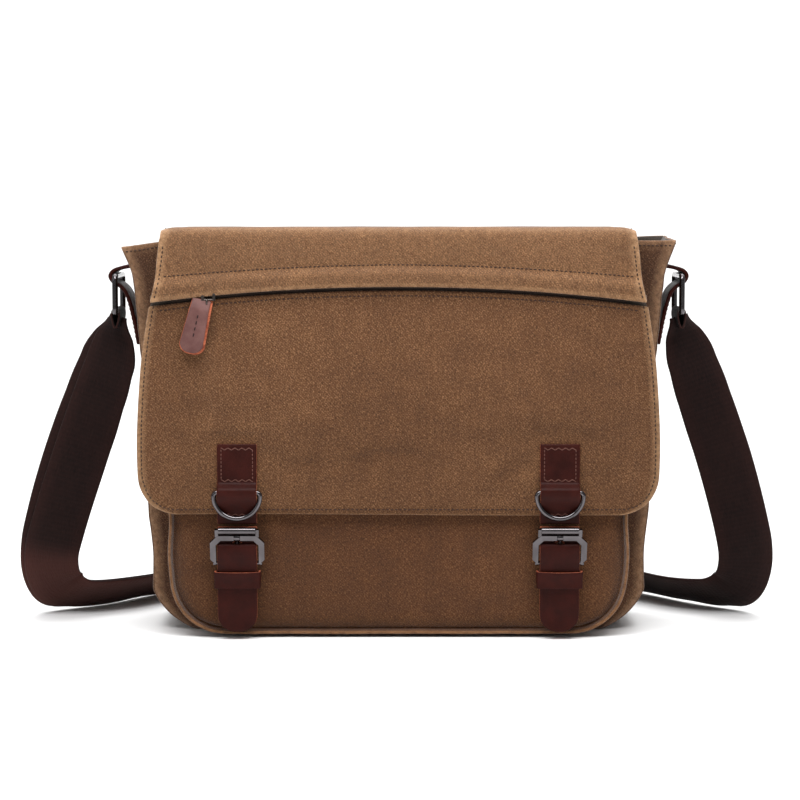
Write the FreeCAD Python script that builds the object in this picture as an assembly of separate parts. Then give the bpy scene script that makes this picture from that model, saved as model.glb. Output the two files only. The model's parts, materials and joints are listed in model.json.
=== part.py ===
"""Canvas messenger bag: body, front pocket, flap with zip, two buckle closures, rings and shoulder strap.

Millimetres.  +X is to the wearer's right when the flap faces the viewer, -Y is the front, +Z is up.
The origin is at the centre of the base, on the surface that the bag stands on.
"""
import math
import os

import FreeCAD
import Part

# ---------------------------------------------------------------- driving dimensions
CANVAS = 3.0                # body canvas with its lining and seam
RIM_Z = 262.0               # rim of the main compartment
BACK_Y = 59.5               # outer face of the back panel
MAIN_FRONT_Y = -17.0        # outer face of the main compartment's front panel
BASE_RADIUS = 22.0          # lower corners of the body
BODY_SIDE = [(168.0, 0.0), (171.0, 150.0), (181.0, 225.0), (181.0, 243.0), (188.0, RIM_Z)]
LINING = 1.0
BASE_BOARD = 2.0

POCKET_HALF = 154.0         # over the flange
POCKET_TOP = 205.0
POCKET_BASE = 2.0
POCKET_RADIUS = 34.0
POCKET_FRONT_Y = -44.0      # face of the pocket's front panel
POCKET_PANEL = 2.0
FLANGE_WIDTH = 5.4
FLANGE_PROUD = 1.0

FLAP_TOP_Z = 269.5
FLAP_THICK = 3.0
FLAP_FACE_Y = -50.5         # outer face of the hanging part
FLAP_HALF_TOP = 158.0
HEM_Z = 84.0
FLAP_OUTLINE = [(FLAP_HALF_TOP, FLAP_TOP_Z), (165.0, 222.0), (174.0, 135.0), (171.0, HEM_Z)]
FLAP_CORNER = 22.0

ZIP_Z = 234.0               # centre line of the zip
ZIP_HALF = 150.0
ZIP_OPEN_HALF = 10.0        # half height of the slot that the zip fills
COIL_RADIUS = 0.9
SLIDER_X = -124.0
SLIDER_LENGTH = 14.0
PULL_PIVOT = (-54.3, 226.5)         # y, z
BRIDGE_RADIUS = 0.6
PULL_LEAN = 14.0
PULL_LENGTH = 36.0

CLOSURE_X = 107.0
LEATHER = 2.0
LEATHER_HALF = 13.2
PATCH_TOP = 131.0
STRAP_FACE_Y = -53.4        # front face of the closure strap
CLOSURE_HINGE_Z = 76.5      # the strap folds forward about its front face here
TAIL_Z = 5.0
D_PIVOT = (-55.3, 98.8)     # y, z
D_WIRE = 1.65
D_HALF = 15.35
D_LEG = 2.0
D_BEND = 2.4
HEEL = (-49.7, 51.0)        # y, z of the buckle's heel bar
HEEL_RADIUS = 1.5
ROLLER_AXIS = (-57.2, 73.6) # y, z
ROLLER_RADIUS = 2.3
ROLLER_HALF = 12.2
ROLLER_BAR = 1.25
RUNNING_FIT = 0.07
PRONG_RISE = 18.9           # from the heel bar to the prong's bar, along the frame
PRONG_BAR = 1.1
FRAME_INNER = 14.2
FRAME_OUTER = 18.0
KEEPER_Z = (34.6, 46.0)
SNAP_Z = 25.0

RING_Y = 20.0
RING_X = 192.5
RING_TOP_Z = 240.0
RING_HEIGHT = 25.0          # between the two bars' centre lines
RING_HALF = 22.0
RING_WIRE = 2.0
WEBBING = 38.0
WEBBING_THICK = 2.4
LOOP_DROP = 22.0

# Shoulder strap, left half, from the ring to behind the bag: where each point is,
# and which way the webbing's width lies there.
LEFT_ROUTE = [
    ((-199.5, 20.0, 190.0), (0.94, -0.33, 0.1)),
    ((-208.0, 20.0, 168.0), (0.98, -0.15, 0.1)),
    ((-218.0, 19.5, 140.0), (1.0, 0.0, 0.05)),
    ((-228.0, 19.0, 112.0), (1.0, 0.05, 0.1)),
    ((-239.0, 22.0, 76.0), (0.96, 0.1, 0.25)),
    ((-247.0, 28.0, 43.0), (0.8, -0.2, 0.5)),
    ((-243.0, 40.0, 19.0), (0.45, -0.4, 0.75)),
    ((-226.0, 52.0, 12.6), (0.55, -0.6, 0.58)),
    ((-200.0, 70.0, 12.6), (0.67, -0.5, 0.56)),
    ((-177.0, 103.0, 12.6), (0.67, -0.5, 0.56)),
    ((-148.0, 140.0, 12.6), (0.55, -0.6, 0.58)),
    ((-106.0, 168.0, 13.0), (0.35, -0.72, 0.6)),
    ((-55.0, 182.0, 13.4), (0.15, -0.8, 0.6)),
    ((-22.0, 185.0, 13.4), (0.05, -0.8, 0.6)),
]
RIGHT_ROUTE = [
    ((199.5, 20.0, 190.0), (-0.94, -0.33, 0.1)),
    ((207.0, 20.0, 168.0), (-0.98, -0.15, 0.1)),
    ((216.5, 19.5, 140.0), (-1.0, 0.0, 0.05)),
    ((226.0, 18.5, 112.0), (-1.0, 0.05, 0.1)),
    ((236.0, 20.0, 76.0), (-0.96, 0.1, 0.25)),
    ((244.0, 27.0, 43.0), (-0.8, -0.2, 0.5)),
    ((240.0, 40.0, 19.0), (-0.45, -0.4, 0.75)),
    ((224.0, 54.0, 12.6), (-0.55, -0.6, 0.58)),
    ((200.0, 75.0, 12.6), (-0.67, -0.5, 0.56)),
    ((178.0, 108.0, 12.6), (-0.67, -0.5, 0.56)),
    ((150.0, 142.0, 12.6), (-0.55, -0.6, 0.58)),
    ((108.0, 168.0, 13.0), (-0.35, -0.72, 0.6)),
    ((52.0, 182.0, 13.4), (-0.15, -0.8, 0.6)),
    ((0.0, 186.0, 13.4), (0.0, -0.8, 0.6)),
    ((-20.0, 185.2, 13.4), (0.05, -0.8, 0.6)),
]


# ---------------------------------------------------------------- helpers
def vec(x, y, z):
    return FreeCAD.Vector(x, y, z)


def block(x0, x1, y0, y1, z0, z1):
    """An axis-aligned block between two corners."""
    return Part.makeBox(x1 - x0, y1 - y0, z1 - z0, vec(x0, y0, z0))


def rod_x(x0, x1, y, z, radius):
    return Part.makeCylinder(radius, x1 - x0, vec(x0, y, z), vec(1, 0, 0))


def rod_y(x, y0, y1, z, radius):
    return Part.makeCylinder(radius, y1 - y0, vec(x, y0, z), vec(0, 1, 0))


def rod(start, end, radius):
    """A round rod between two points."""
    along = end - start
    return Part.makeCylinder(radius, along.Length, start, along)


def ball(centre, radius):
    return Part.makeSphere(radius, centre)


def joined(shapes):
    """One solid made of several that touch or overlap."""
    return shapes[0].fuse(shapes[1:]).removeSplitter()


def mirrored(shape):
    """The same piece on the bag's other side."""
    return shape.mirror(vec(0, 0, 0), vec(1, 0, 0))


def rounded_wire(points, radii):
    """A closed outline in the XZ plane whose corners have the given radii."""
    corners = [vec(x, 0, z) for x, z in points]
    edges = []
    starts = []
    count = len(corners)
    for i, corner in enumerate(corners):
        before = (corners[i - 1] - corner).normalize()
        after = (corners[(i + 1) % count] - corner).normalize()
        if radii[i] <= 0:
            starts.append((corner, corner, None))
            continue
        half = before.getAngle(after) / 2
        reach = radii[i] / math.tan(half)
        middle = corner + (before + after).normalize() * (radii[i] / math.sin(half) - radii[i])
        starts.append((corner + before * reach, corner + after * reach, middle))
    for i, (first, last, middle) in enumerate(starts):
        if middle is not None:
            edges.append(Part.Arc(first, middle, last).toShape())
        following = starts[(i + 1) % count][0]
        if (following - last).Length > 1e-6:
            edges.append(Part.LineSegment(last, following).toShape())
    return Part.Wire(edges)


def plate(points, radii, y0, y1):
    """A flat plate between two depths, with an outline in the XZ plane."""
    face = Part.Face(rounded_wire(points, radii))
    face.translate(vec(0, y0, 0))
    return face.extrude(vec(0, y1 - y0, 0))


def bent_wire(points, radii, wire_radius):
    """Round wire bent to a closed outline in the XZ plane."""
    path = rounded_wire(points, radii)
    start = path.Edges[0].valueAt(path.Edges[0].FirstParameter)
    along = path.Edges[0].tangentAt(path.Edges[0].FirstParameter)
    section = Part.Wire(Part.makeCircle(wire_radius, start, along))
    return path.makePipeShell([section], True, True)


def both_sides(half_points):
    """A symmetric outline from the points of its right half, listed upwards or downwards."""
    return half_points + [(-x, z) for x, z in reversed(half_points)]


def body_slab(inset, y0, y1, top=RIM_Z):
    """The bag body's front outline, taken in on the sides and base, as a slab between two depths."""
    half = [(x - inset, max(z, inset)) for x, z in BODY_SIDE]
    if top > RIM_Z:
        half.append((half[-1][0], top))
    points = both_sides(half)
    radii = [0.0] * len(points)
    radii[0] = BASE_RADIUS - inset
    radii[-1] = BASE_RADIUS - inset
    return plate(points, radii, y0, y1)


def pocket_slab(inset, y0, y1, top=POCKET_TOP):
    half = [(POCKET_HALF - inset, POCKET_BASE + inset), (POCKET_HALF - inset, top)]
    points = both_sides(half)
    corner = POCKET_RADIUS - inset
    return plate(points, [corner, 0, 0, corner], y0, y1)


def flap_slab(y0, y1, inset=0.0):
    half = [(x - inset, z) for x, z in FLAP_OUTLINE]
    points = both_sides(half)
    return plate(points, [0, 0, 0, FLAP_CORNER, FLAP_CORNER, 0, 0, 0], y0, y1)


# ---------------------------------------------------------------- body
def body_parts():
    inner_front = MAIN_FRONT_Y + CANVAS
    inner_back = BACK_Y - CANVAS
    above = RIM_Z + 10
    strip = body_slab(0, inner_front, inner_back)
    strip = strip.cut(body_slab(CANVAS, inner_front, inner_back, above))
    corner_z = BASE_RADIUS
    wide = 400
    left = strip.common(block(-wide, 0, -wide, wide, corner_z, above))
    right = strip.common(block(0, wide, -wide, wide, corner_z, above))
    base = strip.common(block(-wide, wide, -wide, wide, -1, corner_z))
    lining = body_slab(CANVAS, inner_front, inner_back, RIM_Z)
    hollow = body_slab(CANVAS + LINING, inner_front + LINING, inner_back - LINING, above)
    board_top = CANVAS + LINING + BASE_BOARD
    board_half = 146.0
    return {
        "back_panel": body_slab(0, inner_back, BACK_Y),
        "main_front_panel": body_slab(0, MAIN_FRONT_Y, inner_front),
        "gusset_left": left,
        "gusset_right": right,
        "bottom_panel": base,
        "lining": lining.cut(hollow),
        "base_board": block(-board_half, board_half, inner_front + LINING + 0.5,
                            inner_back - LINING - 0.5, CANVAS + LINING, board_top),
    }


def pocket_parts():
    panel_back = POCKET_FRONT_Y + POCKET_PANEL
    flange_front = POCKET_FRONT_Y - FLANGE_PROUD
    above = POCKET_TOP + 10
    flange = pocket_slab(0, flange_front, panel_back)
    flange = flange.cut(pocket_slab(FLANGE_WIDTH, flange_front, panel_back, above))
    side_inset = 3.0
    gusset = pocket_slab(side_inset, panel_back, MAIN_FRONT_Y)
    gusset = gusset.cut(pocket_slab(side_inset + POCKET_PANEL, panel_back, MAIN_FRONT_Y, above))
    return {
        "pocket_front_panel": pocket_slab(FLANGE_WIDTH, POCKET_FRONT_Y, panel_back),
        "pocket_flange": flange,
        "pocket_gusset": gusset,
    }


# ---------------------------------------------------------------- flap and zip
def flap_parts():
    inner_y = FLAP_FACE_Y + FLAP_THICK
    skin_back = inner_y - LINING
    slot_low = ZIP_Z - ZIP_OPEN_HALF
    slot_high = ZIP_Z + ZIP_OPEN_HALF
    wide = 400
    outer = flap_slab(FLAP_FACE_Y, skin_back)
    upper = outer.common(block(-wide, wide, -wide, wide, slot_high, wide))
    lower = outer.common(block(-wide, wide, -wide, wide, 0, slot_low))
    sides = outer.common(block(-wide, wide, -wide, wide, slot_low, slot_high))
    sides = sides.cut(block(-ZIP_HALF, ZIP_HALF, -wide, wide, 0, wide))
    lower = joined([lower] + sides.Solids)
    tape_front = skin_back - 0.8
    coil_y = tape_front - COIL_RADIUS
    coil_gap = 1.0
    coils = [rod_x(-ZIP_HALF, ZIP_HALF, coil_y, ZIP_Z + side * coil_gap, COIL_RADIUS) for side in (-1, 1)]
    stop_half = 1.2
    stops = []
    for side in (-1, 1):
        centre = side * (ZIP_HALF - 2 * stop_half)
        stops.append(block(centre - stop_half, centre + stop_half, coil_y - COIL_RADIUS - 0.9,
                           coil_y - COIL_RADIUS - 0.1, ZIP_Z - 3.0, ZIP_Z + 3.0))
    placket_low = 231.5
    placket_high = 246.0
    placket_front = -54.9
    placket_back = -53.3
    placket = block(-FLAP_HALF_TOP + 2, FLAP_HALF_TOP - 2, placket_front, placket_back,
                    placket_low, placket_high)
    header = block(-FLAP_HALF_TOP + 2, FLAP_HALF_TOP - 2, placket_back, FLAP_FACE_Y,
                   placket_high - 4.0, placket_high)
    top = block(-FLAP_HALF_TOP, FLAP_HALF_TOP, inner_y + 0.9, BACK_Y,
                FLAP_TOP_Z - FLAP_THICK, FLAP_TOP_Z)
    return {
        "flap_top_panel": top,
        "flap_upper_band": upper,
        "flap_lower_panel": lower,
        "flap_lining": flap_slab(skin_back, inner_y),
        "zip_tape_upper": block(-ZIP_HALF, ZIP_HALF, tape_front, skin_back, ZIP_Z + 0.4, slot_high),
        "zip_tape_lower": block(-ZIP_HALF, ZIP_HALF, tape_front, skin_back, slot_low, ZIP_Z - 0.4),
        "zip_coil": Part.makeCompound(coils),
        "zip_end_stops": Part.makeCompound(stops),
        "zip_placket": joined([placket, header]),
    }


def zip_slider():
    """A slider body on the face of the coils, with a round bridge below it for the pull."""
    x0 = SLIDER_X - SLIDER_LENGTH / 2
    x1 = SLIDER_X + SLIDER_LENGTH / 2
    face_back = -51.4
    body_low = ZIP_Z - 4.5
    body = block(x0, x1, face_back - 1.3, face_back, body_low, ZIP_Z + 3.5)
    body = body.makeFillet(0.5, body.Edges)
    bridge_y, bridge_z = PULL_PIVOT
    bridge = rod_x(x0 + 2, x1 - 4, bridge_y, bridge_z, BRIDGE_RADIUS)
    foot_front = bridge_y - BRIDGE_RADIUS
    foot_low = bridge_z - BRIDGE_RADIUS
    feet = [block(x, x + 1.6, foot_front, face_back - 0.6, foot_low, body_low + 1.2)
            for x in (x0 + 1.5, x1 - 5.1)]
    return joined([body, bridge] + feet)


def zip_pull():
    """The wire link on the slider's bridge, and the two-layer leather pull that hangs from it."""
    pivot_y, pivot_z = PULL_PIVOT
    x = SLIDER_X - 2.0
    wire = 0.7
    reach = 2.65
    hang = reach - wire - BRIDGE_RADIUS - 0.05
    middle = vec(x, pivot_y, pivot_z - hang)
    link = Part.makeTorus(reach, wire, middle, vec(1, 0, 0))
    half_top = 6.3
    half_low = 8.0
    half_thick = 1.3
    points = [(-half_top, 0), (-half_low, -PULL_LENGTH), (half_low, -PULL_LENGTH), (half_top, 0)]
    leather = plate(points, [1.5, 7.2, 7.2, 1.5], -half_thick, half_thick)
    leather.rotate(vec(0, 0, 0), vec(0, 1, 0), PULL_LEAN)
    leather.translate(vec(x - 0.5, pivot_y, middle.z - reach + 2.0))
    hole = Part.makeTorus(reach, wire + 0.3, middle, vec(1, 0, 0))
    return {"zip_pull_link": link, "zip_pull_leather": leather.cut(hole)}


# ---------------------------------------------------------------- closures
def leather_patch():
    """Box-stitched leather on the flap, folded round the D-ring's bar, and down over the hem."""
    pivot_y, pivot_z = D_PIVOT
    back = FLAP_FACE_Y - 0.2
    front = back - LEATHER
    plate_part = block(-LEATHER_HALF, LEATHER_HALF, front, back, CLOSURE_HINGE_Z + 0.6, PATCH_TOP)
    bore = D_WIRE + 0.35
    outer = bore + 1.5
    fold = rod_x(-LEATHER_HALF, LEATHER_HALF, pivot_y, pivot_z, outer)
    fold = fold.fuse(block(-LEATHER_HALF, LEATHER_HALF, pivot_y, front, pivot_z - outer, pivot_z + outer))
    fold = joined([plate_part, fold])
    return fold.cut(rod_x(-LEATHER_HALF - 1, LEATHER_HALF + 1, pivot_y, pivot_z, bore))


def d_ring():
    """Round wire bent to a D: a straight bar in the leather fold, short legs and a half circle."""
    pivot_y, pivot_z = D_PIVOT
    low = pivot_z - D_LEG - D_HALF
    outline = [(-D_HALF, pivot_z), (D_HALF, pivot_z), (D_HALF, low), (-D_HALF, low)]
    bow = D_HALF - 0.01
    ring = bent_wire(outline, [D_BEND, D_BEND, bow, bow], D_WIRE)
    ring.translate(vec(0, pivot_y, 0))
    return ring


def closure_strap():
    """The strap that hangs from the flap: behind the roller, over the heel bar, to a round tail."""
    top = CLOSURE_HINGE_Z - 0.6
    neck_half = LEATHER_HALF - 1.8
    neck_low, neck_high = 62.0, 64.6
    left = [(-neck_half, top), (-neck_half, neck_high), (-LEATHER_HALF, neck_low), (-LEATHER_HALF, TAIL_Z)]
    right = [(-x, z) for x, z in reversed(left)]
    strap = plate(left + right, [0, 0, 0, 12.9, 12.9, 0, 0, 0], STRAP_FACE_Y, STRAP_FACE_Y + LEATHER)
    hole_half = 2.5
    hole = [(-hole_half, 59.8), (hole_half, 59.8), (hole_half, 67.8), (-hole_half, 67.8)]
    return strap.cut(plate(hole, [2.2] * 4, STRAP_FACE_Y - 1, STRAP_FACE_Y + LEATHER + 1))


def frame_point(rise):
    """y and z of a point on the buckle's leaning middle plane, that far above the heel bar."""
    span = math.hypot(ROLLER_AXIS[1] - HEEL[1], HEEL[0] - ROLLER_AXIS[0])
    share = rise / span
    return (HEEL[0] + (ROLLER_AXIS[0] - HEEL[0]) * share, HEEL[1] + (ROLLER_AXIS[1] - HEEL[1]) * share)


def buckle_frame():
    """Eight-sided frame: a heel bar, a flat bar with the prong's neck, and a roller bar on two horns."""
    rise = ROLLER_AXIS[1] - HEEL[1]
    lean = HEEL[0] - ROLLER_AXIS[0]
    span = math.hypot(rise, lean)
    foot = -2.0
    head = PRONG_RISE + 1.8
    chamfer = 5.2
    side = FRAME_OUTER
    outline = [(side, foot + chamfer), (side, head - chamfer), (side - chamfer, head),
               (chamfer - side, head), (-side, head - chamfer), (-side, foot + chamfer),
               (chamfer - side, foot), (side - chamfer, foot)]
    half_thick = 1.4
    frame = plate(outline, [0] * len(outline), -half_thick, half_thick)
    window_top = PRONG_RISE - 1.7
    inner_chamfer = 3.4
    inner = FRAME_INNER
    window = [(inner, foot - 1), (inner, window_top - inner_chamfer), (inner - inner_chamfer, window_top),
              (inner_chamfer - inner, window_top), (-inner, window_top - inner_chamfer), (-inner, foot - 1)]
    frame = frame.cut(plate(window, [0] * len(window), -5, 5))
    neck = 2.1
    frame = frame.cut(block(-neck, neck, -5, 5, window_top - 1, head + 1))
    horn_low = head - 1.0
    horns = [block(x, x + 2.2, -1.2, 1.2, horn_low, span + 1.2)
             for x in (ROLLER_HALF + 0.15, -ROLLER_HALF - 2.35)]
    bars = [rod_x(-inner - 2, inner + 2, 0, 0, HEEL_RADIUS),
            rod_x(-neck - 1, neck + 1, 0, PRONG_RISE, PRONG_BAR),
            rod_x(-ROLLER_HALF - 1, ROLLER_HALF + 1, 0, span, ROLLER_BAR)]
    frame = joined(frame.Solids + horns + bars)
    frame.rotate(vec(0, 0, 0), vec(1, 0, 0), math.degrees(math.atan2(lean, rise)))
    frame.translate(vec(0, HEEL[0], HEEL[1]))
    return frame


def roller():
    tube = rod_x(-ROLLER_HALF, ROLLER_HALF, ROLLER_AXIS[0], ROLLER_AXIS[1], ROLLER_RADIUS)
    return tube.cut(rod_x(-20, 20, ROLLER_AXIS[0], ROLLER_AXIS[1], ROLLER_BAR + RUNNING_FIT))


def prong():
    """An eye round the neck of the flat bar and a short pin that drops into the strap's hole."""
    eye_half = 1.8
    y, z = frame_point(PRONG_RISE)
    bore = PRONG_BAR + RUNNING_FIT
    outer = bore + 0.9
    tip = vec(0, STRAP_FACE_Y + 1.6, 62.8)
    root = vec(0, y - 0.6, z - 1.2)
    pin_radius = 1.3
    eye = rod_x(-eye_half, eye_half, y, z, outer)
    pin = joined([eye, rod(root, tip, pin_radius), ball(tip, pin_radius)])
    return pin.cut(rod_x(-5, 5, y, z, bore))


def buckle_tab():
    """The leather behind the strap that loops round the heel bar and holds the snap."""
    front = STRAP_FACE_Y + LEATHER + 0.1
    back = -46.9
    low = 14.0
    hold = HEEL_RADIUS + 1.5
    tab = block(-LEATHER_HALF, LEATHER_HALF, front, back, low, HEEL[1])
    loop = rod_x(-LEATHER_HALF, LEATHER_HALF, HEEL[0], HEEL[1], hold)
    loop = loop.common(block(-20, 20, front, back, HEEL[1] - 5, HEEL[1] + 5))
    tab = joined([tab, loop])
    bore = HEEL_RADIUS + 0.1
    channel = block(-20, 20, front - 1, HEEL[0], HEEL[1] - bore, HEEL[1] + bore)
    tab = tab.cut(joined([rod_x(-20, 20, HEEL[0], HEEL[1], bore), channel]))
    mouth_half = 2.4
    return tab.cut(block(-mouth_half, mouth_half, -60, 0, HEEL[1] - 5.0, HEEL[1] + 5.0))


def keeper():
    """A leather loop round the strap and the tab behind it."""
    z0, z1 = KEEPER_Z
    inner_half = LEATHER_HALF + 0.1
    wall = 1.7
    front = STRAP_FACE_Y - 0.1
    back = -46.8
    outer = block(-inner_half - wall, inner_half + wall, front - wall, back + 1.2, z0, z1)
    outer = outer.makeFillet(1.0, [e for e in outer.Edges if abs(e.BoundBox.ZLength - (z1 - z0)) < 0.01])
    return outer.cut(block(-inner_half, inner_half, front, back, z0 - 1, z1 + 1))


def snap_stud():
    return rod_y(0, -46.9, -44.9, SNAP_Z, 4.0)


def snap_socket():
    """A magnetic socket on the pocket, with the well that the stud drops into."""
    back = POCKET_FRONT_Y
    cup = rod_y(0, back - 2.3, back, SNAP_Z, 8.5)
    cup = cup.makeFillet(0.7, [cup.Edges[0]])
    return cup.cut(rod_y(0, back - 5, back - 0.3, SNAP_Z, 4.7))


def closure_parts():
    single = {
        "leather_patch": leather_patch(),
        "d_ring": d_ring(),
        "closure_strap": closure_strap(),
        "buckle_frame": buckle_frame(),
        "roller": roller(),
        "prong": prong(),
        "buckle_tab": buckle_tab(),
        "keeper": keeper(),
        "snap_stud": snap_stud(),
        "snap_socket": snap_socket(),
    }
    parts = {}
    for name, shape in single.items():
        for side, label in ((-1, "left"), (1, "right")):
            placed = shape.copy()
            placed.translate(vec(side * CLOSURE_X, 0, 0))
            parts[name + "_" + label] = placed
    return parts


# ---------------------------------------------------------------- rings and shoulder strap
def strap_tab():
    """Leather tab, left side: sewn to the gusset, looped round the ring's upper bar."""
    half = WEBBING / 2
    y0 = RING_Y - half
    y1 = RING_Y + half
    bore = RING_WIRE + 0.35
    outer = bore + 2.0
    centre_x = -RING_X
    side_x = -BODY_SIDE[2][0]
    loop = rod_y(centre_x, y0, y1, RING_TOP_Z, outer)
    sewn = [(side_x - 0.3, 243.0), (centre_x, RING_TOP_Z + outer), (centre_x, RING_TOP_Z - outer),
            (side_x - 3.4, 222.0), (-180.0, 196.0), (-177.8, 196.0), (side_x - 0.3, 224.5)]
    web = plate(sewn, [0] * len(sewn), y0, y1)
    tab = joined([loop, web])
    return tab.cut(rod_y(centre_x, y0 - 1, y1 + 1, RING_TOP_Z, bore))


def side_ring():
    """Rectangular wire ring, left side, with rounded corners and its long bars along Y."""
    low = RING_TOP_Z - RING_HEIGHT
    outline = [(-RING_HALF, RING_TOP_Z), (RING_HALF, RING_TOP_Z), (RING_HALF, low), (-RING_HALF, low)]
    ring = bent_wire(outline, [3.0] * 4, RING_WIRE)
    ring.rotate(vec(0, 0, 0), vec(0, 0, 1), 90)
    ring.translate(vec(-RING_X, RING_Y, 0))
    return ring


def strap_end_loop():
    """The webbing's end, left side: round the ring's lower bar and sewn to itself below."""
    half = WEBBING / 2
    y0 = RING_Y - half + 1.5
    y1 = RING_Y + half - 1.5
    z = RING_TOP_Z - RING_HEIGHT
    bore = RING_WIRE + 0.3
    outer = bore + 1.8
    loop = rod_y(-RING_X, y0, y1, z, outer)
    tail = block(-RING_X - 1.9, -RING_X + 1.9, y0, y1, z - LOOP_DROP, z - bore)
    return joined([loop, tail]).cut(rod_y(-RING_X, y0 - 1, y1 + 1, z, bore))


def route_stations(route):
    """Points, directions and width directions along the smooth curve that the route's points control.

    Each inner point bends the line between the middles of its two runs, as one parabola.
    """
    points = [vec(*p) for p, _ in route]
    widths = [vec(*w) for _, w in route]
    stations = []
    last = len(points) - 1
    for i in range(1, last):
        start = points[0] if i == 1 else (points[i - 1] + points[i]) * 0.5
        end = points[last] if i == last - 1 else (points[i] + points[i + 1]) * 0.5
        width_start = widths[0] if i == 1 else (widths[i - 1] + widths[i]) * 0.5
        width_end = widths[last] if i == last - 1 else (widths[i] + widths[i + 1]) * 0.5
        steps = (0.0, 0.5) if i < last - 1 else (0.0, 0.5, 1.0)
        for t in steps:
            at = start * (1 - t) ** 2 + points[i] * (2 * t * (1 - t)) + end * t ** 2
            along = (points[i] - start) * (1 - t) + (end - points[i]) * t
            across = width_start * (1 - t) ** 2 + widths[i] * (2 * t * (1 - t)) + width_end * t ** 2
            along.normalize()
            across = across - along * across.dot(along)
            across.normalize()
            stations.append((at, along, across))
    return stations


def band(route):
    """Flat webbing along a route, as one solid through a section at every station."""
    sections = []
    stations = route_stations(route)
    for at, along, across in stations:
        edge = across * (WEBBING / 2)
        face = along.cross(across) * (WEBBING_THICK / 2)
        corners = [at - edge - face, at + edge - face, at + edge + face, at - edge + face]
        sections.append(Part.makePolygon(corners + corners[:1]))
    length = sum((b[0] - a[0]).Length for a, b in zip(stations, stations[1:]))
    radii = [(b[0] - a[0]).Length / max(a[1].getAngle(b[1]), 1e-6) for a, b in zip(stations, stations[1:])]
    print(f"strap half: length {length:.0f}, tightest bend radius {min(radii):.0f}")
    return Part.makeLoft(sections, True, True)


def triglide():
    """Length adjuster: a flat frame with a middle bar, round the webbing behind the bag."""
    at, along, across = route_stations(LEFT_ROUTE)[-1]
    half_long = 12.0
    half_wide = WEBBING / 2 + 4.0
    thick = 2.2
    frame = block(-half_wide, half_wide, -thick / 2, thick / 2, -half_long, half_long)
    frame = frame.makeFillet(3.0, [e for e in frame.Edges if abs(e.BoundBox.YLength - thick) < 0.01])
    window_half = WEBBING / 2 + 0.8
    for z0, z1 in ((-half_long + 2.6, -1.4), (1.4, half_long - 2.6)):
        frame = frame.cut(block(-window_half, window_half, -5, 5, z0, z1))
    normal = along.cross(across)
    turn = FreeCAD.Matrix(across.x, normal.x, along.x, 0, across.y, normal.y, along.y, 0,
                          across.z, normal.z, along.z, 0, 0, 0, 0, 1)
    frame = frame.transformGeometry(turn)
    offset = normal * (-(WEBBING_THICK + thick) / 2 - 0.1)
    frame.translate(at + offset)
    return frame


def strap_parts():
    tab = strap_tab()
    ring = side_ring()
    loop = strap_end_loop()
    return {
        "strap_tab_left": tab,
        "strap_tab_right": mirrored(tab),
        "side_ring_left": ring,
        "side_ring_right": mirrored(ring),
        "strap_end_loop_left": loop,
        "strap_end_loop_right": mirrored(loop),
        "shoulder_strap_left": band(LEFT_ROUTE),
        "shoulder_strap_right": band(RIGHT_ROUTE),
        "strap_slider": triglide(),
    }


def main():
    os.makedirs("parts", exist_ok=True)
    parts = {}
    parts.update(body_parts())
    parts.update(pocket_parts())
    parts.update(flap_parts())
    parts["zip_slider"] = zip_slider()
    parts.update(zip_pull())
    parts.update(closure_parts())
    parts.update(strap_parts())
    for name, shape in parts.items():
        if not shape.isValid() or shape.Volume <= 0:
            raise ValueError(name + " is not a valid solid")
        shape.exportStep("parts/" + name + ".step")
        box = shape.BoundBox
        print(f"{name:24s} solids {len(shape.Solids)} volume {shape.Volume / 1000:9.2f} cm3"
              f"  x {box.XMin:7.1f} {box.XMax:7.1f}  y {box.YMin:7.1f} {box.YMax:7.1f}"
              f"  z {box.ZMin:6.1f} {box.ZMax:6.1f}")


main()
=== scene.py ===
"""The finished look of a canvas messenger bag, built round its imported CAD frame."""

import json
import math

import bpy
import numpy as np
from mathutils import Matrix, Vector, noise
from mathutils.bvhtree import BVHTree

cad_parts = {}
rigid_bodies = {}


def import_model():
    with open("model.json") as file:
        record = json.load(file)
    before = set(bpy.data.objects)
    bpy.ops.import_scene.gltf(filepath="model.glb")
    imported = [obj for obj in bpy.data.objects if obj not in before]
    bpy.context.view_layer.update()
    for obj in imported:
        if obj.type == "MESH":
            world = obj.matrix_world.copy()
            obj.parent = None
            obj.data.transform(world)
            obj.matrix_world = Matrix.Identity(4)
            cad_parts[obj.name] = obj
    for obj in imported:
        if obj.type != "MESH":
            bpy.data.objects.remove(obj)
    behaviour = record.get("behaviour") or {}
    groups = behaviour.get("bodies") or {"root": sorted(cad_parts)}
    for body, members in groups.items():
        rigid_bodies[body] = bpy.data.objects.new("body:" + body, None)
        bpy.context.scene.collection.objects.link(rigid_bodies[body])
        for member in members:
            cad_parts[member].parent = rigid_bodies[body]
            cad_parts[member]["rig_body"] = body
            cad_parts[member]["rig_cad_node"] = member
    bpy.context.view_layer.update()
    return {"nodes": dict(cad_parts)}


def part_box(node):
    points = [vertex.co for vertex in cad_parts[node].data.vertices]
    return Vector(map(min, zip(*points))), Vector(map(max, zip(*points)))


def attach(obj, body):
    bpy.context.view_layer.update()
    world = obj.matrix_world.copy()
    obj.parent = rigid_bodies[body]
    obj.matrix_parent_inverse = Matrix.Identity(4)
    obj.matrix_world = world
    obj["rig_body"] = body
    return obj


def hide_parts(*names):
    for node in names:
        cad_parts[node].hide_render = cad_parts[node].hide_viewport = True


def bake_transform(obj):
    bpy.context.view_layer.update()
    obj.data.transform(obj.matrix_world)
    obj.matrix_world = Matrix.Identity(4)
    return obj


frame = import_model()
SCENE = bpy.context.scene
MM = 0.001

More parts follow.
